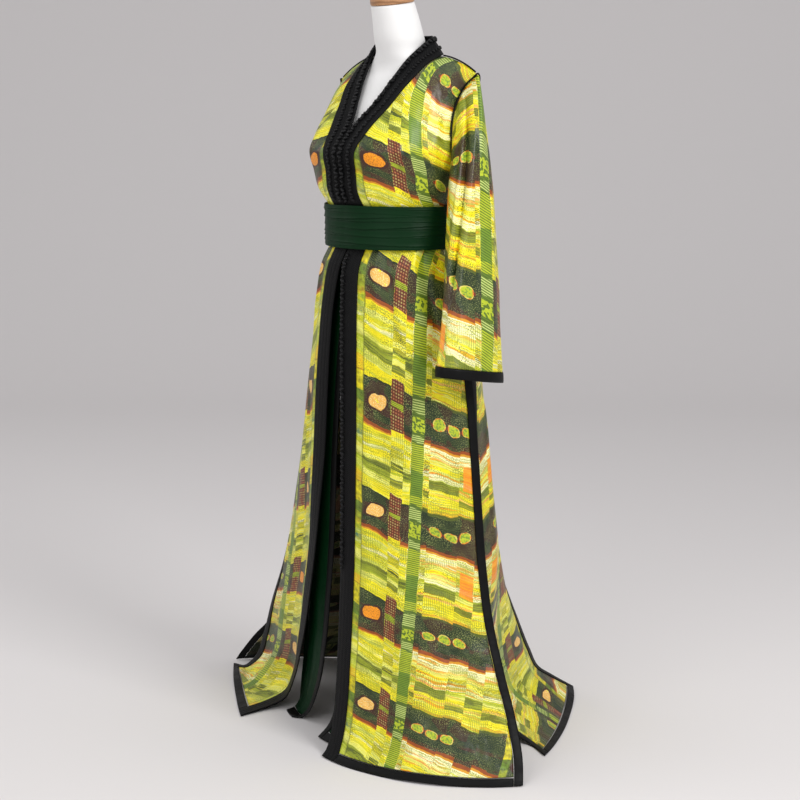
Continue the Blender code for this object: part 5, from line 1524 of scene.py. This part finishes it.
def rounded(radius, top, bottom, bevel, steps=7):
    """Profile of a disc with a rounded top and bottom rim."""
    a = np.linspace(0, np.pi / 2, steps)
    upper = np.stack([radius - bevel + bevel * np.sin(a), top - bevel + bevel * np.cos(a)], 1)
    lower = np.stack([radius - bevel / 2 + bevel / 2 * np.cos(a), bottom + bevel / 2 - bevel / 2 * np.sin(a)], 1)
    inner = np.linspace(0, 0.96, 6)[:, None]
    return np.vstack(
        [
            np.hstack([inner * (radius - bevel), top + 0 * inner]), upper, lower,
            np.hstack([inner[::-1] * (radius - bevel / 2), bottom + 0 * inner]),
        ]
    )


def wood_material():
    """Varnished beech, darkened: rings of grain about an axis beside the cap, with fine pores."""
    material, shader = new_material("varnished wood", (0.30, 0.14, 0.06), 0.4, Coat_Weight=0.35, Coat_Roughness=0.25)
    w = Weaver(material.node_tree)
    place = w.place_in_piece()
    grain = w.node("ShaderNodeTexWave", wave_type="RINGS", rings_direction="Y")
    w.feed(grain.inputs["Vector"], place)
    grain.inputs["Scale"].default_value = 38
    grain.inputs["Distortion"].default_value = 3.5
    grain.inputs["Detail"].default_value = 3
    pores = w.noise(place, 700, 2)
    colour = w.blend(grain.outputs["Fac"], (0.44, 0.22, 0.095), (0.26, 0.12, 0.045))
    w.feed(shader.inputs["Base Color"], w.blend(w.less(pores, 0.36), colour, (0.12, 0.05, 0.02)))
    w.feed(shader.inputs["Roughness"], w.scaled(pores, 0.2, 0.28))
    return material


def paint_material():
    """Satin white powder coat on steel, very slightly pebbled."""
    material, shader = new_material("white powder coat", (0.74, 0.74, 0.74), 0.42)
    w = Weaver(material.node_tree)
    place = w.place_in_piece()
    w.bump(shader, w.times(w.noise(place, 420, 2), 0.00018))
    w.feed(shader.inputs["Roughness"], w.scaled(w.noise(place, 22, 2), 0.25, 0.30))
    return material


neck_middle = neck_ring.mean(axis=0)
cap_mesh = turned_mesh(
    rounded(CAP_RADIUS, CAP_HEIGHT, 0, 0.006), 96, float(np.arctan(NECK_TILT)), neck_middle + [0, 0, 0.0006],
)
cap = new_piece("turned_cap", cap_mesh, wood_material(), "cap_wood", neck_middle)
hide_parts("neck_cap")
powder_coat = paint_material()
base_profile = np.vstack(
    [
        [(0, BASE_CROWN), (0.015, BASE_CROWN), (0.03, BASE_CROWN)],
        np.stack(
            [np.linspace(0.04, BASE_RADIUS - 0.012, 12), np.linspace(BASE_CROWN - 0.0006, BASE_RIM + 0.001, 12)], 1,
        ), rounded(BASE_RADIUS, BASE_RIM, 0, 0.004)[6:],
    ]
)
base = new_piece("round_base", turned_mesh(base_profile, 128), powder_coat, "stand_metal", np.array([0, 0, 0.005]))
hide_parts("stand_base")
pole = new_piece("stand_tube", turned_mesh(rounded(POLE_RADIUS, 0.7396, BASE_CROWN + 0.0004, 0.0008), 64), powder_coat,
                 "stand_metal", np.array([0, 0, 0.4]))
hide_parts("stand_pole")

# ---------------------------------------------------------------- what each cloth is cut from
# Panels, sleeves, belt and under-skirt fronts are flat cuts; trims, bindings, cords and cuffs are sewn on them.
for name, flat, area in (("front_left", (0.40, 1.51), 0.355), ("front_right", (0.30, 1.65), 0.305),
                         ("back_left", (0.42, 1.68), 0.39), ("back_right", (0.66, 1.63), 0.485)):
    hand = name.split("_")[1]
